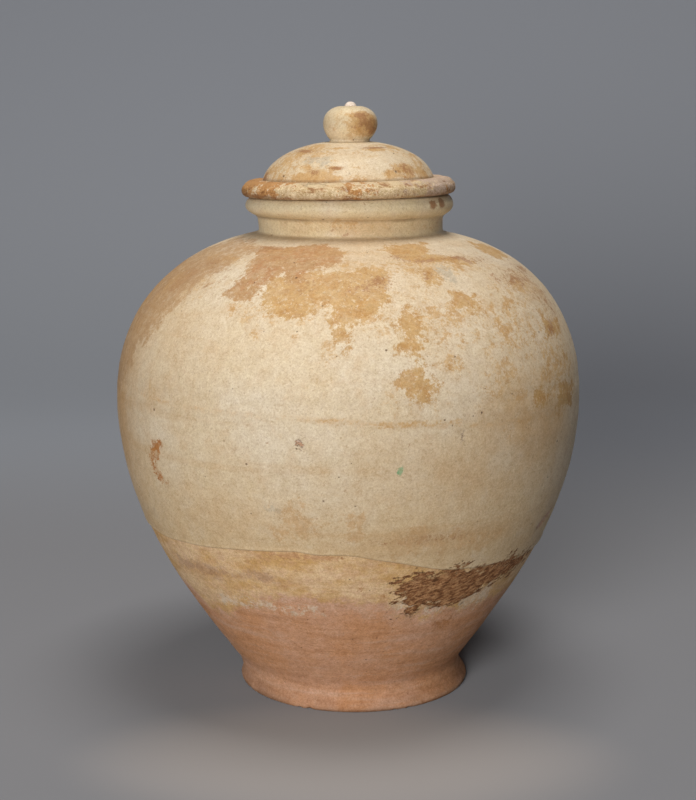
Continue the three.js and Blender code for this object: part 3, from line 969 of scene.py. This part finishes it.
bodyClouds = {
    "ochre": [
        (-12, 250, 46, 18, 0.58), (-2, 270, 60, 8, 0.6), (6, 246, 26, 24, 0.56),
        (24, 244, 44, 34, 0.62), (46, 236, 64, 40, 0.62), (24, 221, 12, 14, 0.66),
        (15, 206, 26, 16, 0.55), (39, 213, 16, 12, 0.5), (58, 256, 40, 18, 0.6),
        (60, 214, 44, 40, 0.62), (38, 210, 40, 30, 0.52), (40, 179, 20, 10, 0.45),
        (-24, 246, 30, 9, 0.66), (-32, 247, 14, 9, 0.66), (-24, 236, 8, 8, 0.6), (-14, 234, 8, 8, 0.52),
        (-5, 226, 8, 16, 0.55), (-50, 255, 24, 18, 0.48), (-70, 256, 26, 22, 0.7),
        (-84, 244, 24, 40, 0.85), (-56, 270, 30, 9, 0.75), (-54, 197, 24, 10, 0.42),
        (24, 268, 90, 16, 0.62), (-3, 192, 18, 2.6, 0.75), (14, 189.5, 44, 3.0, 0.72),
        (-12, 276, 60, 5, 0.6), (88, 214, 24, 26, 0.6), (97, 236, 30, 22, 0.62),
        (112, 205, 24, 24, 0.56), (128, 240, 50, 26, 0.58), (-140, 236, 44, 26, 0.58),
        (-118, 222, 30, 26, 0.56), (166, 224, 40, 26, 0.58), (141, 214, 26, 20, 0.55),
        (-158, 214, 30, 22, 0.55), (178, 258, 60, 26, 0.6), (-100, 255, 40, 22, 0.6),
        (150, 180, 18, 10, 0.55), (-130, 190, 20, 10, 0.5), (-5, 290, 30, 5, 0.6),
        (60, 288, 30, 6, 0.5), (150, 290, 60, 6, 0.55), (-110, 288, 40, 6, 0.5),
    ],
    "brown": [
        (8, 263, 12, 9, 0.62), (4, 259, 20, 5, 0.5), (-4, 262, 20, 4, 0.45), (43, 272, 13, 3, 0.9),
        (60, 259, 26, 10, 0.62), (70, 244, 16, 18, 0.55), (52, 270, 22, 5, 0.6), (25, 265, 5, 5, 0.7),
        (-64, 256, 10, 22, 0.75), (-40, 277, 16, 3, 0.9), (-58, 268, 14, 6, 0.8),
        (62, 231, 10, 6, 0.66), (30, 272, 24, 4, 0.6), (18, 274, 12, 4, 0.62), (76, 262, 18, 8, 0.62),
        (51, 300, 3.2, 2.4, 1.6), (60, 300.5, 3.6, 2.6, 1.6), (-10, 288, 14, 4, 0.36),
        (24, 288, 9, 3, 0.34), (-120, 262, 16, 5, 0.9), (-146, 255, 12, 4, 0.9), (120, 266, 18, 5, 0.9),
        (20, 122, 40, 5, 0.6), (-90, 262, 20, 8, 0.8), (178, 240, 30, 10, 0.7),
    ],
    "streak": [
        (-60, 262, 30, 18, 1.25), (-74, 244, 22, 30, 1.2), (-46, 276, 24, 6, 1.15),
        (-84, 216, 20, 30, 1.0), (66, 258, 30, 16, 1.0), (-110, 258, 40, 14, 0.8),
        (130, 262, 40, 12, 0.8),
    ],
    # warm staining; the large spot at azimuth -74, height 190 is painted shade on the jar's far left side
    "warm": [
        (30, 160, 60, 26, 0.5), (24, 120, 50, 9, 0.9), (-48, 232, 30, 26, 0.3), (-25, 132, 60, 16, 0.3),
        (46, 182, 46, 30, 1.0), (66, 252, 30, 20, 0.4), (-64, 258, 36, 20, 0.5),
        (178, 150, 110, 34, 0.6), (-110, 190, 70, 40, 0.4), (112, 170, 60, 40, 0.4),
        (-52, 197, 30, 12, 0.5), (-74, 190, 38, 70, 1.15), (-78, 256, 34, 34, 0.95),
        (0, 272, 160, 16, 0.42), (2, 286, 44, 8, 0.55), (120, 262, 160, 22, 0.5),
        (-130, 262, 160, 22, 0.5),
    ],
}
clayStains = {
    "crust": crustShapes,
    "purple": [
        [(-60, 99), (-52, 97), (-40, 96), (-28, 99), (-17, 99.5), (-18, 96), (-28, 93.5), (-42, 91),
         (-58, 92)],
        (128, 92, 20, 4),
    ],
    "pale": [
        [(35, 78), (46, 81), (52, 76), (47, 69), (37, 71)],
        (-40, 75, 9, 3), (-26, 76.5, 10, 2.4), (-14, 76, 6, 2), (17, 79, 5, 4), (27, 72, 6, 4),
        (-160, 80, 14, 5),
    ],
    "rust": [(3, 91, 1.8, 1.6), (10, 85, 1, 1), (33.5, 61, 5, 4), (-95, 84, 3, 3)],
    "flake": [[(-22, 112.6), (-14, 113.6), (-6, 113.4), (0, 112), (-4, 110.6), (-14, 111)]],
}


def crustLumps(x, y, z):
    # the lumps of the crust, drawn out along its slant
    flat, tall = crustForm["squash"]
    return lumps(x * flat, y * flat, z * tall - crustForm["slant"] * x, crustForm["size"], 41)


def onCrust(wear):
    # 1 inside the crust, and 0 outside it
    return np.clip(0.5 - wear["crust"] / crustForm["edge"], 0, 1)


def drawn(shown, a, r, z, arcOf, stains):
    # the distance to the edge of each stain, where it shows
    return {key: np.where(shown, reach(a, r, z, arcOf, shapes), farAway) for key, shapes in stains.items()}


def wallRelief(azimuths, r, x, y, z):
    return handTurned(x, y, z)


edgeForm = {"wander": 0.5, "wanderSize": 14, "nickAt": -8.5, "nickWide": 3.4, "nickDeep": 0.9}


def edgeHeights(azimuths):
    # the lower edge of the glaze, with a nick at the front where a flake is gone
    edge = allRound(azimuths, glazeEdge)
    a = np.radians(azimuths)
    wander = edgeForm["wander"] * lumps(80 * np.sin(a), -80 * np.cos(a), 0 * a, edgeForm["wanderSize"], 21)
    nick = edgeForm["nickDeep"] * hump(around(azimuths, edgeForm["nickAt"]), edgeForm["nickWide"], 4)
    return edge + wander - nick


footForm = {
    "recess": 2.5, "recessIn": 14.2,      # its depth, and how far in from the foot's edge it starts
    "edgeIn": 0.4, "edgeRound": 1.4, "edgeHeight": 2.2,
    "nicks": 0.9,                         # how deep its edge is nicked
    # how dark the foot is made: evenly, by painted shade on its left and right sides, and on its underside
    "evenDark": 0.24, "leftShade": 0.6, "rightShade": 0.2, "undersideDark": 0.4,
}


def makeFootSkin():
    recess, recessR = footForm["recess"], footR - footForm["recessIn"]
    edge, low, edgeIn = footForm["edgeRound"], footForm["edgeHeight"], footForm["edgeIn"]
    cornerR = footR - edge - edgeIn
    high = footTop - low
    flare = curve((footR, low), (footR - 0.3 * jarWall["waistIn"], low + 0.36 * high),
                  (waistR, footTop - 0.32 * high), (waistR, footTop), 30)
    corner = curve((cornerR, 0), (footR - edgeIn, 0), (footR, 0.4 * edge), (footR, low), 14)
    under = joined([(0, recess), (recessR - recess, recess), (recessR, 0), (cornerR, 0)])
    points, outs = section(
        (under, 3.0), (corner, 0.4), (flare, 0.9), ([(waistR, footTop), (0, footTop)], 6.0))
    azimuths = azimuthsOf(jarWall["sides"])

    def relief(azimuth, r, x, y, z):
        turned = handTurned(x, y, z)
        nicks = np.maximum(0, lumps(x, y, z, 3.0, 31) - 0.45) * 1.6
        nicks = nicks + np.maximum(0, lumps(x, y, z, 9, 32) - 0.6)
        onEdge = hump(z - 1.0, 1.6) * (r > footR - 4)
        lifted = np.clip(z / 4, 0, 1)
        return turned * lifted - nicks * onEdge * footForm["nicks"]

    a, r, z, x, y = spotsOf(azimuths, points)
    nearEdge = hump(z - 0.5, 1.5) * (r > footR - 5)
    patchy = np.clip(0.7 + 0.9 * lumps(x, y, z, 12, 33), 0, 1)
    underside = (z < 2.6) & (r < footR - 2)
    # painted shade on the foot's left and right sides, over an even darkening below the foot's top
    footDark = footForm["leftShade"] * hump(around(a, -52), 30) + footForm["rightShade"] * hump(around(a, 58), 26)
    footDark = (footDark + footForm["evenDark"]) * np.clip((footTop + 2 - z) / 5, 0, 1)
    footDark = footDark * (0.8 + 0.4 * lumps(x, y, z, 9, 34))
    wear = {"shadeAndDirt": np.clip(nearEdge * patchy + footForm["undersideDark"] * underside + footDark, 0, 1)}
    skin = turnedSkin("footSkin", azimuths, points, outs, relief, wear, poles=True)
    dress(skin, "jar", "foot", "bare_clay")


exposed = {
    "top": 122.0, "standsOut": 0.35,      # the bare clay below the glaze, which stands proud of the wall
    "cornerIn": 9, "cornerUp": 3,         # the hollow's rounding into the floor
}


def makeLowerWall():
    floorZ = footTop + jarWall["floor"]
    inside = cut(wallInside, floorZ + exposed["cornerUp"], seamZ)[::-1]
    foot = inside[-1]
    floorR = foot[0] - exposed["cornerIn"]
    points, outs = section(
        ([(0, footTop), (waistR, footTop)], 6.0),
        (cut(wallOutside, footTop, exposed["top"]), 1.1),
        (cut(wallOutside, exposed["top"], seamZ), 5.0),
        ([(radiusAt(wallOutside, seamZ), seamZ), inside[0]], 3.6),
        (inside, 3.0),
        (curve(foot, (foot[0] - 1.6, foot[1] - 2.2), (foot[0] - 5, floorZ), (floorR, floorZ)), 1.5),
        ([(floorR, floorZ), (0, floorZ)], 3.0))
    azimuths = azimuthsOf(jarWall["sides"])
    a, r, z = spotsOf(azimuths, points)[:3]
    outer = r > radiusAt(wallInside, z) + 3
    wear = drawn(outer, a, r, z, arcOfWall, clayStains)
    wear["slip"] = np.where(outer, np.clip(allRound(a, slipEdge) - z, -farAway, farAway), farAway)
    # painted shade on the clay along the glaze's lower edge; the inside is evenly darker
    glazeEdgeShade = np.clip(1 - np.abs(edgeHeights(azimuths)[:, None] - z) / 1.5, 0, 1)
    wear["shadeAndDirt"] = np.where(outer, 0.35 * glazeEdgeShade, 0.15)

    def relief(azimuth, r, x, y, z):
        covered = np.clip((z - edgeHeights(azimuth)) / 2 + 0.5, 0, 1)
        away = np.clip((z - footTop) / 12, 0, 1)
        standing = exposed["standsOut"] * away * (1 - covered) * outer
        rough = 0.55 * crustLumps(x, y, z) + 0.35 * lumps(x, y, z, 1.9, 42)
        raised = onCrust(wear) * (1 - covered)
        return handTurned(x, y, z) + standing + raised * (0.25 + 0.55 * rough)

    skin = turnedSkin("lowerWallSkin", azimuths, points, outs, relief, wear, poles=True)
    dress(skin, "jar", "lower_body", "slipped_clay")


def makeUpperWall():
    underside = shoulderZ - jarWall["thickness"]
    inside = cut(wallInside, seamZ, underside - 1)[::-1]
    mouthEdge = curve((boreR, underside + 2), (boreR, underside + 0.8),
                      (boreR + 0.8, underside), (boreR + 2, underside), 6)
    points, outs = section(
        (cut(wallOutside, seamZ, shoulderZ), 4.0),
        ([(neckR + neckForm["rootOut"], shoulderZ), (boreR, shoulderZ)], 4.0),
        (joined([(boreR, shoulderZ)], mouthEdge, [inside[0]]), 1.2),
        (inside, 3.0),
        ([inside[-1], (radiusAt(wallOutside, seamZ), seamZ)], 3.6))
    azimuths = azimuthsOf(plainSides["hidden"])
    skin = turnedSkin("upperWallSkin", azimuths, points[:-1], outs[:-1], wallRelief, {"shadeAndDirt": 0.15})
    dress(skin, "jar", "upper_body", "slipped_clay")


def makeCollarSkin():
    points, outs = section((collarOutside, 1.5), ([collarOutside[-1], (boreR, shoulderZ)], 1.5),
                           ([(boreR, shoulderZ), collarOutside[0]], 4.0))
    azimuths = azimuthsOf(plainSides["hidden"])
    skin = turnedSkin("collarSkin", azimuths, points[:-1], outs[:-1], wallRelief, {"shadeAndDirt": 0.1})
    dress(skin, "jar", "neck_collar", "slipped_clay")


coat = {
    "thickness": coatR - bellyR,   # glaze face above the clay
    "sunk": 0.12,                  # how far its back is let into the clay
    "bandTop": 136.0,              # the rows below this crowd towards the wavy edge
    "bandRows": 34, "crowding": 1.5,
    "fineAbove": 272,              # rows are closer together from here, over the neck and lip
    "backRows": 60, "lidBackRows": 50,
    "edgeRound": 1.1, "lidEdgeRound": 0.8,
    "bead": 0.3, "beadIn": 1.3, "beadWide": 0.9,   # where the glaze gathered along its edge
    "inside": 9.0,                 # how far it runs down inside the mouth
    "endShare": 0.3,               # what is left of its thickness there
    "lowTone": 175.0, "lowToneOver": 60.0,         # it is darker below this height
    "sides": 376,
}

# azimuth, height, width and depth
glazeDents = [(-11, 178.6, 1.9, -0.5), (26, 182, 1.2, -0.5), (-45, 212, 1.0, -0.3), (48, 183, 1.0, -0.3)]


def makeJarGlazeSkin():
    sides = coat["sides"]
    azimuths = azimuthsOf(sides)
    upper = joined(cut(wallOutside, coat["bandTop"], shoulderZ), collarOutside)
    turn = coat["fineAbove"]
    upperLine, upperOut = section(
        (cut(upper, coat["bandTop"], turn), 1.9), (cutFrom(upper, turn), 0.9),
        ([collarOutside[-1], (boreR, collarOutside[-1][1] - coat["inside"])], 1.5))
    wallLine, wallOut = spaced(cut(wallOutside, 70, coat["bandTop"] + 5), 0.8)
    edge = edgeHeights(azimuths)
    share = (np.arange(coat["bandRows"]) / coat["bandRows"]) ** coat["crowding"]
    bandZ = edge[:, None] + (coat["bandTop"] - edge[:, None]) * share
    bandR = radiusAt(wallLine, bandZ)
    bandOut = np.stack([np.interp(bandZ, wallLine[:, 1], wallOut[:, k]) for k in (0, 1)], axis=-1)
    faceLine = np.concatenate([np.stack([bandR, bandZ], axis=-1),
                               np.broadcast_to(upperLine, (sides,) + upperLine.shape)], axis=1)
    faceOut = np.concatenate([bandOut, np.broadcast_to(upperOut, (sides,) + upperOut.shape)], axis=1)
    fromEdge = np.hypot(faceLine[..., 0] - faceLine[:, :1, 0], faceLine[..., 1] - faceLine[:, :1, 1])
    thickness = coat["thickness"] * rounded(fromEdge, coat["edgeRound"])
    thickness = thickness + coat["bead"] * hump(fromEdge - coat["beadIn"], coat["beadWide"])
    thickness[:, -1] = coat["thickness"] * coat["endShare"]
    back = np.linspace(faceLine.shape[1] - 1, 0, coat["backRows"]).round().astype(int)
    points = np.concatenate([faceLine + faceOut * thickness[..., None],
                             faceLine[:, back] - faceOut[:, back] * coat["sunk"]], axis=1)
    outs = np.concatenate([faceOut, faceOut[:, back]], axis=1)
    a, r, z, x, y = spotsOf(azimuths, points)
    face = np.arange(points.shape[1]) < faceLine.shape[1]
    onWall = face & (z < shoulderZ + 0.5)
    wear = drawn(onWall, a, r, z, arcOfWall, bodyStains)
    seams = np.minimum(toLine(a, r, z, arcOfWall, beltSeam), toLine(a, r, z, arcOfWall, lowSeam) + 1.2)
    wear["seam"] = np.where(onWall, seams, farAway)
    for key, spots in bodyClouds.items():
        wear[key] = clouds(a, r, z, arcOfWall, spots) * face
    wear["low"] = np.clip((coat["lowTone"] - z) / coat["lowToneOver"], 0, 1) * (z < shoulderZ)
    wear["weathered"] = np.clip((z - shoulderZ + 14) / 16, 0, 1)
    neck = np.clip((z - shoulderZ - 1) / 3, 0, 1) * np.clip((lipTop + 3 - z) / 4, 0, 1)
    wear["pool"] = np.clip(neck * (0.75 + 0.4 * lumps(x, y, z, 11, 51)), 0, 1)
    # painted shade along the crease at the neck's root and in the groove under the lip
    root = 0.7 * hump(z - shoulderZ - 2.2, 0.8) * (r > neckR + 1.0)
    lipGrooveShade = hump(z - (lipTop - neckForm["lipHeight"]), 1.1) * (r < neckR + 4)
    patchy = np.clip(0.75 + 0.8 * lumps(x, y, z, 16, 52), 0, 1)
    wear["shadeAndDirt"] = np.clip((root + 0.8 * lipGrooveShade) * patchy, 0, 1) * face

    def relief(azimuth, r, x, y, z):
        pushed = handTurned(x, y, z)
        for middle, level, wide, deep in glazeDents:
            dx, dz = np.radians(around(azimuth, middle)) * r, z - level
            pushed = pushed + deep * np.exp(-(dx * dx + dz * dz) / wide ** 2)
        flaked = np.clip(0.5 - wear["flake"] / 0.8, 0, 1)
        return pushed - 0.5 * flaked + onCrust(wear) * (0.3 * crustLumps(x, y, z))

    skin = turnedSkin("jarGlazeSkin", azimuths, points, outs, relief, wear)
    dress(skin, "jar", "jar_glaze", "straw_glaze")


makeFootSkin()
makeLowerWall()
makeUpperWall()
makeCollarSkin()
makeJarGlazeSkin()


# The cover

lidForm = {
    "flangeUp": 8.7, "flangeWide": 13.8, "valley": 0.9, "steep": 13.3, "lean": math.radians(16),
    "flat": 17.4, "slope": math.radians(7), "wall": 6.0, "ringWall": 4.2, "taper": 0.5, "ringEdge": 1.2,
    "sides": 320,
}
knobForm = {"neck": 10.8, "widest": 12.1, "fillet": 3.0}
flangeTop = lidSeat + lidForm["flangeUp"]
domeR = flangeR - lidForm["flangeWide"]
knobSeatR = knobForm["neck"] + knobForm["fillet"]
hollowR = ringR - lidForm["ringWall"]
flangeMid = (flangeR, lidSeat + 0.47 * lidForm["flangeUp"])
valleyPoint = (domeR + 0.3 * lidForm["flangeWide"], flangeTop - lidForm["valley"])


def flangeCurves():
    # the flange's edge, below and above its widest level
    up = lidForm["flangeUp"]
    under = curve((flangeR - 0.45 * up, lidSeat), (flangeR - 0.06 * up, lidSeat),
                  (flangeR, lidSeat + 0.24 * up), flangeMid, 16)
    upper = curve(flangeMid, (flangeR, flangeMid[1] + 0.29 * up),
                  (flangeR - 0.3 * up, flangeTop), (flangeR - 0.66 * up, flangeTop), 16)
    return under, upper


def domeOutline():
    steep, lean, flat, slope = lidForm["steep"], lidForm["lean"], lidForm["flat"], lidForm["slope"]
    return curve(
        (domeR, flangeTop),
        (domeR - steep * math.sin(lean), flangeTop + steep * math.cos(lean)),
        (knobSeatR + flat * math.cos(slope), knobZ - flat * math.sin(slope)),
        (knobSeatR, knobZ), 50)


def knobCurves():
    neck, fillet, bulbZ = knobForm["neck"], knobForm["fillet"], knobZ + knobForm["widest"]
    neckTop, crownH = knobZ + fillet, knobTop - bulbZ
    return joined(
        curve((neck + fillet / 2, knobZ), (neck, knobZ + 0.25 * fillet),
              (neck, knobZ + 0.6 * fillet), (neck, neckTop), 10),
        curve((neck, neckTop), (0.9 * knobR, neckTop + 0.3 * (bulbZ - neckTop)),
              (knobR, bulbZ - 0.3 * (bulbZ - neckTop)), (knobR, bulbZ), 16),
        curve((knobR, bulbZ), (knobR, bulbZ + 0.6 * crownH), (0.73 * knobR, knobTop - 0.07 * crownH),
              (1.42 * nibR, knobTop), 20))


flangeUnder, flangeUpper = flangeCurves()
domeCurve = domeOutline()
knobOutline = knobCurves()
lidLine = joined([flangeMid], flangeUpper, [valleyPoint], domeCurve, knobOutline)
arcOfLid = arcAlong(joined([(flangeR, lidSeat)], lidLine[np.argsort(lidLine[:, 1], kind="stable")]))


def lidRelief(azimuths, r, x, y, z):
    onRim = np.clip((r - domeR - 2) / 3, 0, 1) * np.clip((z - lidSeat - 1.5) / 2, 0, 1)
    chipped = 0.32 * lumps(x, y, z, 6.5, 64) + 0.2 * lumps(x, y, z, 2.8, 65)
    return handTurned(x, y, z, 0.55) + chipped * onRim


def rimWear(a, r, z):
    # where the rim is bare and worn: tan at its left, pinkish at its right
    onRim = np.clip((r - domeR - 0.6) / 1.4, 0, 1) * (z < flangeTop + 2) * np.clip((r - ringR) / 1.5, 0, 1)
    tan = (1.0 - 0.05 * (flangeTop - z)) * hump(around(a, -76), 44, 4)
    tan = tan + 0.62 * hump(around(a, 3), 9)
    tan = tan + 0.8 * hump(around(a, 175), 40)
    pink = 1.1 * hump(around(a, 78), 50, 4) + 0.5 * hump(around(a, -150), 25)
    return {"rim": onRim, "rimTan": tan, "rimPink": pink, "weathered": 1.0}


def makeLidCapSkin():
    ceiling = knobZ - lidForm["wall"]
    inside = curve((0, ceiling), (0.6 * hollowR, ceiling), (hollowR, lidSeat + 0.6 * (ceiling - lidSeat)),
                   (hollowR, lidSeat), 30)
    points, outs = section(
        (inside, 2.5), ([(hollowR, lidSeat), tuple(flangeUnder[0])], 2.0),
        (flangeUnder, 0.5), (flangeUpper, 0.5),
        (joined([tuple(flangeUpper[-1])], [valleyPoint], domeCurve, [(0, knobZ)]), 3.0))
    azimuths = azimuthsOf(lidForm["sides"])
    a, r, z, x, y = spotsOf(azimuths, points)
    wear = rimWear(a, r, z)
    wear["slip"] = np.where(r > hollowR + 12, -6 + 8 * lumps(x, y, z, 15, 61), farAway)
    # painted shade along the flange's underside and its lower edge, heavier at the left
    flangeEdgeShade = hump(z - lidSeat - 1.6, 1.2) * (0.3 + 0.6 * hump(around(a, -70), 34, 4))
    wear["shadeAndDirt"] = np.clip(hump(z - lidSeat, 1.2) * 0.7 + flangeEdgeShade * (r > ringR + 4), 0, 1)
    skin = turnedSkin("lidCapSkin", azimuths, points, outs, lidRelief, wear, poles=True)
    dress(skin, "lid", "lid_cap", "slipped_clay")


def makeRingSkin():
    edge, inner, outer = lidForm["ringEdge"], hollowR + lidForm["taper"], ringR - lidForm["taper"]
    outline = joined(
        [(hollowR, lidSeat), (inner, ringBottom + edge)],
        curve((inner, ringBottom + edge), (inner, ringBottom + 0.4),
              (inner + 0.4, ringBottom), (inner + edge, ringBottom), 6),
        curve((outer - edge, ringBottom), (outer - 0.4, ringBottom),
              (outer, ringBottom + 0.4), (outer, ringBottom + edge), 6),
        [(ringR, lidSeat)])
    points, outs = section((outline, 0.8), ([(ringR, lidSeat), (hollowR, lidSeat)], 2.0))
    azimuths = azimuthsOf(plainSides["hidden"])
    skin = turnedSkin("locatingRingSkin", azimuths, points[:-1], outs[:-1], lidRelief, {"shadeAndDirt": 0.2})
    dress(skin, "lid", "lid_locating_ring", "slipped_clay")


def makeKnobSkin():
    socket = nibR + 0.3
    points, outs = section(
        ([(0, knobZ), tuple(knobOutline[0])], 3.0), (knobOutline, 1.5),
        ([tuple(knobOutline[-1]), (socket, knobTop)], 0.5),
        ([(socket, knobTop), (socket, nibBottom)], 1.0), ([(socket, nibBottom), (0, nibBottom)], 1.5))
    azimuths = azimuthsOf(plainSides["knob"])
    skin = turnedSkin("knobSkin", azimuths, points, outs, lidRelief, {"shadeAndDirt": 0.5}, poles=True)
    dress(skin, "lid", "lid_knob", "slipped_clay")


def makeNibSkin():
    proud = nibTip - knobTop
    tip = curve((nibR, knobTop + 0.2 * proud), (0.9 * nibR, knobTop + 0.75 * proud),
                (0.5 * nibR, nibTip), (0, nibTip), 20)
    points, outs = section(
        ([(0, nibBottom), (nibR, nibBottom)], 1.2), ([(nibR, nibBottom), tuple(tip[0])], 0.8), (tip, 0.35))
    azimuths = azimuthsOf(plainSides["nib"])

    def relief(azimuth, r, x, y, z):
        above = z - knobTop
        return 0.25 * lumps(x, y, z, 2.6, 71) * np.clip(above / 1.5, 0, 1) - 0.1 * np.clip(above, 0, 1)

    wear = {"shadeAndDirt": np.clip(knobTop + 0.8 - points[:, 1], 0, 1)}
    skin = turnedSkin("nibSkin", azimuths, points, outs, relief, wear, poles=True)
    dress(skin, "lid", "knob_nib", "nib_clay")


lidStains = {
    "grey": [(-24, 326.5, 8, 3)],
    "flake": [[(-26, 313.6), (-20, 314), (-12, 314), (-12, 312.6), (-20, 312.2)]],
}
lidClouds = {
    "ochre": [
        (-26, 317, 16, 5, 1.25), (-30, 322, 8, 4, 0.9), (-8, 316, 7, 4, 0.9), (-9, 322, 6, 2, 1.25),
        (42, 320, 14, 9, 0.9), (30, 318, 8, 4, 1.0), (60, 318, 10, 7, 0.9), (-55, 330, 16, 5, 0.95),
        (-20, 333, 20, 3, 0.8), (30, 332, 12, 3, 1.1), (8, 315, 8, 2, 0.8), (70, 328, 12, 6, 0.8),
        (120, 322, 18, 10, 1.0), (170, 318, 22, 8, 1.1), (-130, 321, 18, 9, 1.0), (35, 347, 13, 8, 1.4),
        (20, 352, 10, 4, 1.1), (-150, 346, 9, 6, 1.1), (140, 350, 8, 5, 0.9),
    ],
    "brown": [
        (-9, 322, 6, 1.6, 1.1), (44, 321, 10, 7, 0.72), (32, 333, 10, 2, 1.2), (-50, 331, 14, 4, 0.85),
        (-76, 316, 8, 5, 0.8), (-24, 320, 6, 3, 0.8), (40, 348, 9, 7, 0.76), (30, 352, 8, 3, 0.9),
        (58, 343, 6, 5, 0.8), (150, 329, 14, 5, 0.9), (-150, 346, 5, 4, 1.0), (-120, 318, 12, 5, 0.8),
    ],
}


def makeLidGlazeSkin():
    face, faceOut = section(
        (flangeUpper[8:], 0.5), (joined([tuple(flangeUpper[-1])], [valleyPoint], domeCurve[:4]), 0.8),
        (domeCurve[3:], 1.0), (joined(domeCurve[-1:], knobOutline), 0.6))
    along = lengthAlong(face)
    rounding = rounded(along[-1] - along, coat["lidEdgeRound"]) * np.clip(along / 5, 0, 1) ** 0.8
    rows = np.linspace(len(face) - 1, 0, coat["lidBackRows"]).round().astype(int)
    front = face + faceOut * (coat["thickness"] * rounding)[:, None]
    points = np.vstack([front, face[rows] - faceOut[rows] * coat["sunk"]])
    outs = np.vstack([faceOut, faceOut[rows]])
    azimuths = azimuthsOf(lidForm["sides"])
    a, r, z, x, y = spotsOf(azimuths, points)
    onFace = np.arange(len(points)) < len(face)
    onDome = onFace & (z < knobZ + 0.3)
    wear = drawn(onDome, a, r, z, arcOfLid, lidStains)
    wear.update(rimWear(a, r, z))
    for key, spots in lidClouds.items():
        wear[key] = clouds(a, np.maximum(r, 4), z, arcOfLid, spots) * onFace
    onCover = onFace & (z < knobZ)
    ground = np.where(onCover, 0.55 + 0.3 * lumps(x, y, z, 20, 62), 0.3)
    wear["ochre"] = np.maximum(wear["ochre"], ground)
    wear["pool"] = np.clip(0.5 * lumps(x, y, z, 14, 63) + 0.35 * (z > knobZ), 0, 1)
    # painted shade in the crease between dome and flange and at the knob's root; darker round the nib
    valley = hump(r - domeR - 0.6, 1.0) * (z < flangeTop + 2)
    knobRootShade = hump(z - knobZ - 0.6, 0.9) * (r < knobSeatR + 1.5)
    crown = np.clip((nibR + 3.0 - r) / 1.5, 0, 1) * (z > knobTop - 1)
    wear["shadeAndDirt"] = np.clip(0.6 * valley + 0.1 * knobRootShade + 0.8 * crown, 0, 1) * onFace
    skin = turnedSkin("lidGlazeSkin", azimuths, points, outs, lidRelief, wear)
    dress(skin, "lid", "lid_glaze", "straw_glaze")


makeLidCapSkin()
makeRingSkin()
makeKnobSkin()
makeNibSkin()
makeLidGlazeSkin()


# Floor, light and camera

studio = {
    "floor": colour(130, 130, 133),
    # a painted pool of light on the floor in front of the jar
    "litFloor": colour(158, 152, 149),   # in front of the jar
    "middle": colour(142, 145, 151),
    # painted shadow of the jar on the paper to its right
    "shadowedMiddle": colour(122, 124, 130),   # to the right
    "top": colour(180, 183, 190),
    "ambient": (0.86, 0.9, 1.0, 1.0),
    "ambientStrength": 0.05,
    # the paper, in metres: from its front edge to the bend, up round it and to its top
    "front": -2.6, "bendStart": 0.9, "bendR": 0.8, "paperTop": 3.4, "halfWidth": 3.5,
}
# size, power and place of each lamp
lamps = {
    "keyLight": (0.9, 26, (-0.5, -1.8, 0.55)),
    "topLight": (0.9, 27, (0.12, -0.08, 2.15)),
}
lampTint = (1.0, 0.985, 0.96)
lampAim = (0, 0, 0.2)
# 696 x 800 picture, 1576 pixels of focal length along its long side
cameraView = {"x": -0.9, "y": -965.3, "z": 357.4, "down": math.radians(10.57), "lens": 70.92}


def makeStudio():
    start, radius, wide = studio["bendStart"], studio["bendR"], studio["halfWidth"]
    bend = [(studio["front"], 0.0), (start, 0.0)]
    bend += [(start + radius * math.sin(t), radius - radius * math.cos(t))
             for t in np.linspace(0.05, math.pi / 2, 20)]
    bend += [(start + radius, studio["paperTop"])]
    verts = [(x, y, z) for x in (-wide, wide) for y, z in bend]
    n = len(bend)
    faces = [(i, n + i, n + i + 1, i + 1) for i in range(n - 1)]
    mesh = bpy.data.meshes.new("sweep")
    mesh.from_pydata(verts, [], faces)
    mesh.shade_smooth()
    sweep = added("sweep", mesh)
    mesh.materials.append(newMaterial("sweepPaper"))
    axes = put("ShaderNodeSeparateXYZ", {0: out(put("ShaderNodeTexCoord"), "Object")})
    across, along = out(axes, "X"), out(axes, "Y")
    # a painted pool of light on the floor in front of the jar
    apart = maths("DIVIDE", across, 0.17) ** 2.0 + maths("DIVIDE", along + 0.14, 0.1) ** 2.0
    floor = over(studio["floor"], studio["litFloor"], between(apart, 1.0, 0.0))
    # painted shadow on the paper to the right of the jar
    middle = over(studio["middle"], studio["shadowedMiddle"], between(across, -0.05, 0.32))
    paper = over(floor, middle, between(along, 0.25, 0.8))
    paper = over(paper, studio["top"], between(along, 0.95, 1.75))
    shader = put("ShaderNodeBsdfDiffuse", {"Color": paper, "Roughness": 1.0})
    put("ShaderNodeOutputMaterial", {"Surface": out(shader)})


def makeLights():
    for name, (size, power, place) in lamps.items():
        lamp = bpy.data.lights.new(name, "AREA")
        lamp.shape = "RECTANGLE"
        lamp.size, lamp.size_y = size, size
        lamp.energy = power
        lamp.color = lampTint
        made = added(name, lamp)
        made.location = place
        aim = np.array(lampAim) - np.array(place)
        yaw = math.atan2(aim[0], -aim[1])
        pitch = math.atan2(math.hypot(aim[0], aim[1]), -aim[2])
        made.rotation_euler = (pitch, 0, yaw + math.pi)
    world = bpy.data.worlds.new("softRoom")
    world.use_nodes = True
    ground = world.node_tree.nodes["Background"]
    ground.inputs["Color"].default_value = studio["ambient"]
    ground.inputs["Strength"].default_value = studio["ambientStrength"]
    bpy.context.scene.world = world


def makeCamera():
    view = cameraView
    camera = bpy.data.cameras.new("camera")
    camera.lens = view["lens"]
    camera.sensor_width = 36
    camera.clip_end = 20
    made = added("camera", camera)
    made.location = (view["x"] * mm, view["y"] * mm, view["z"] * mm)
    made.rotation_euler = (math.pi / 2 - view["down"], 0, 0)
    bpy.context.scene.camera = made


makeStudio()
makeLights()
makeCamera()
bpy.context.scene.view_settings.view_transform = "Standard"
print("made the studio")
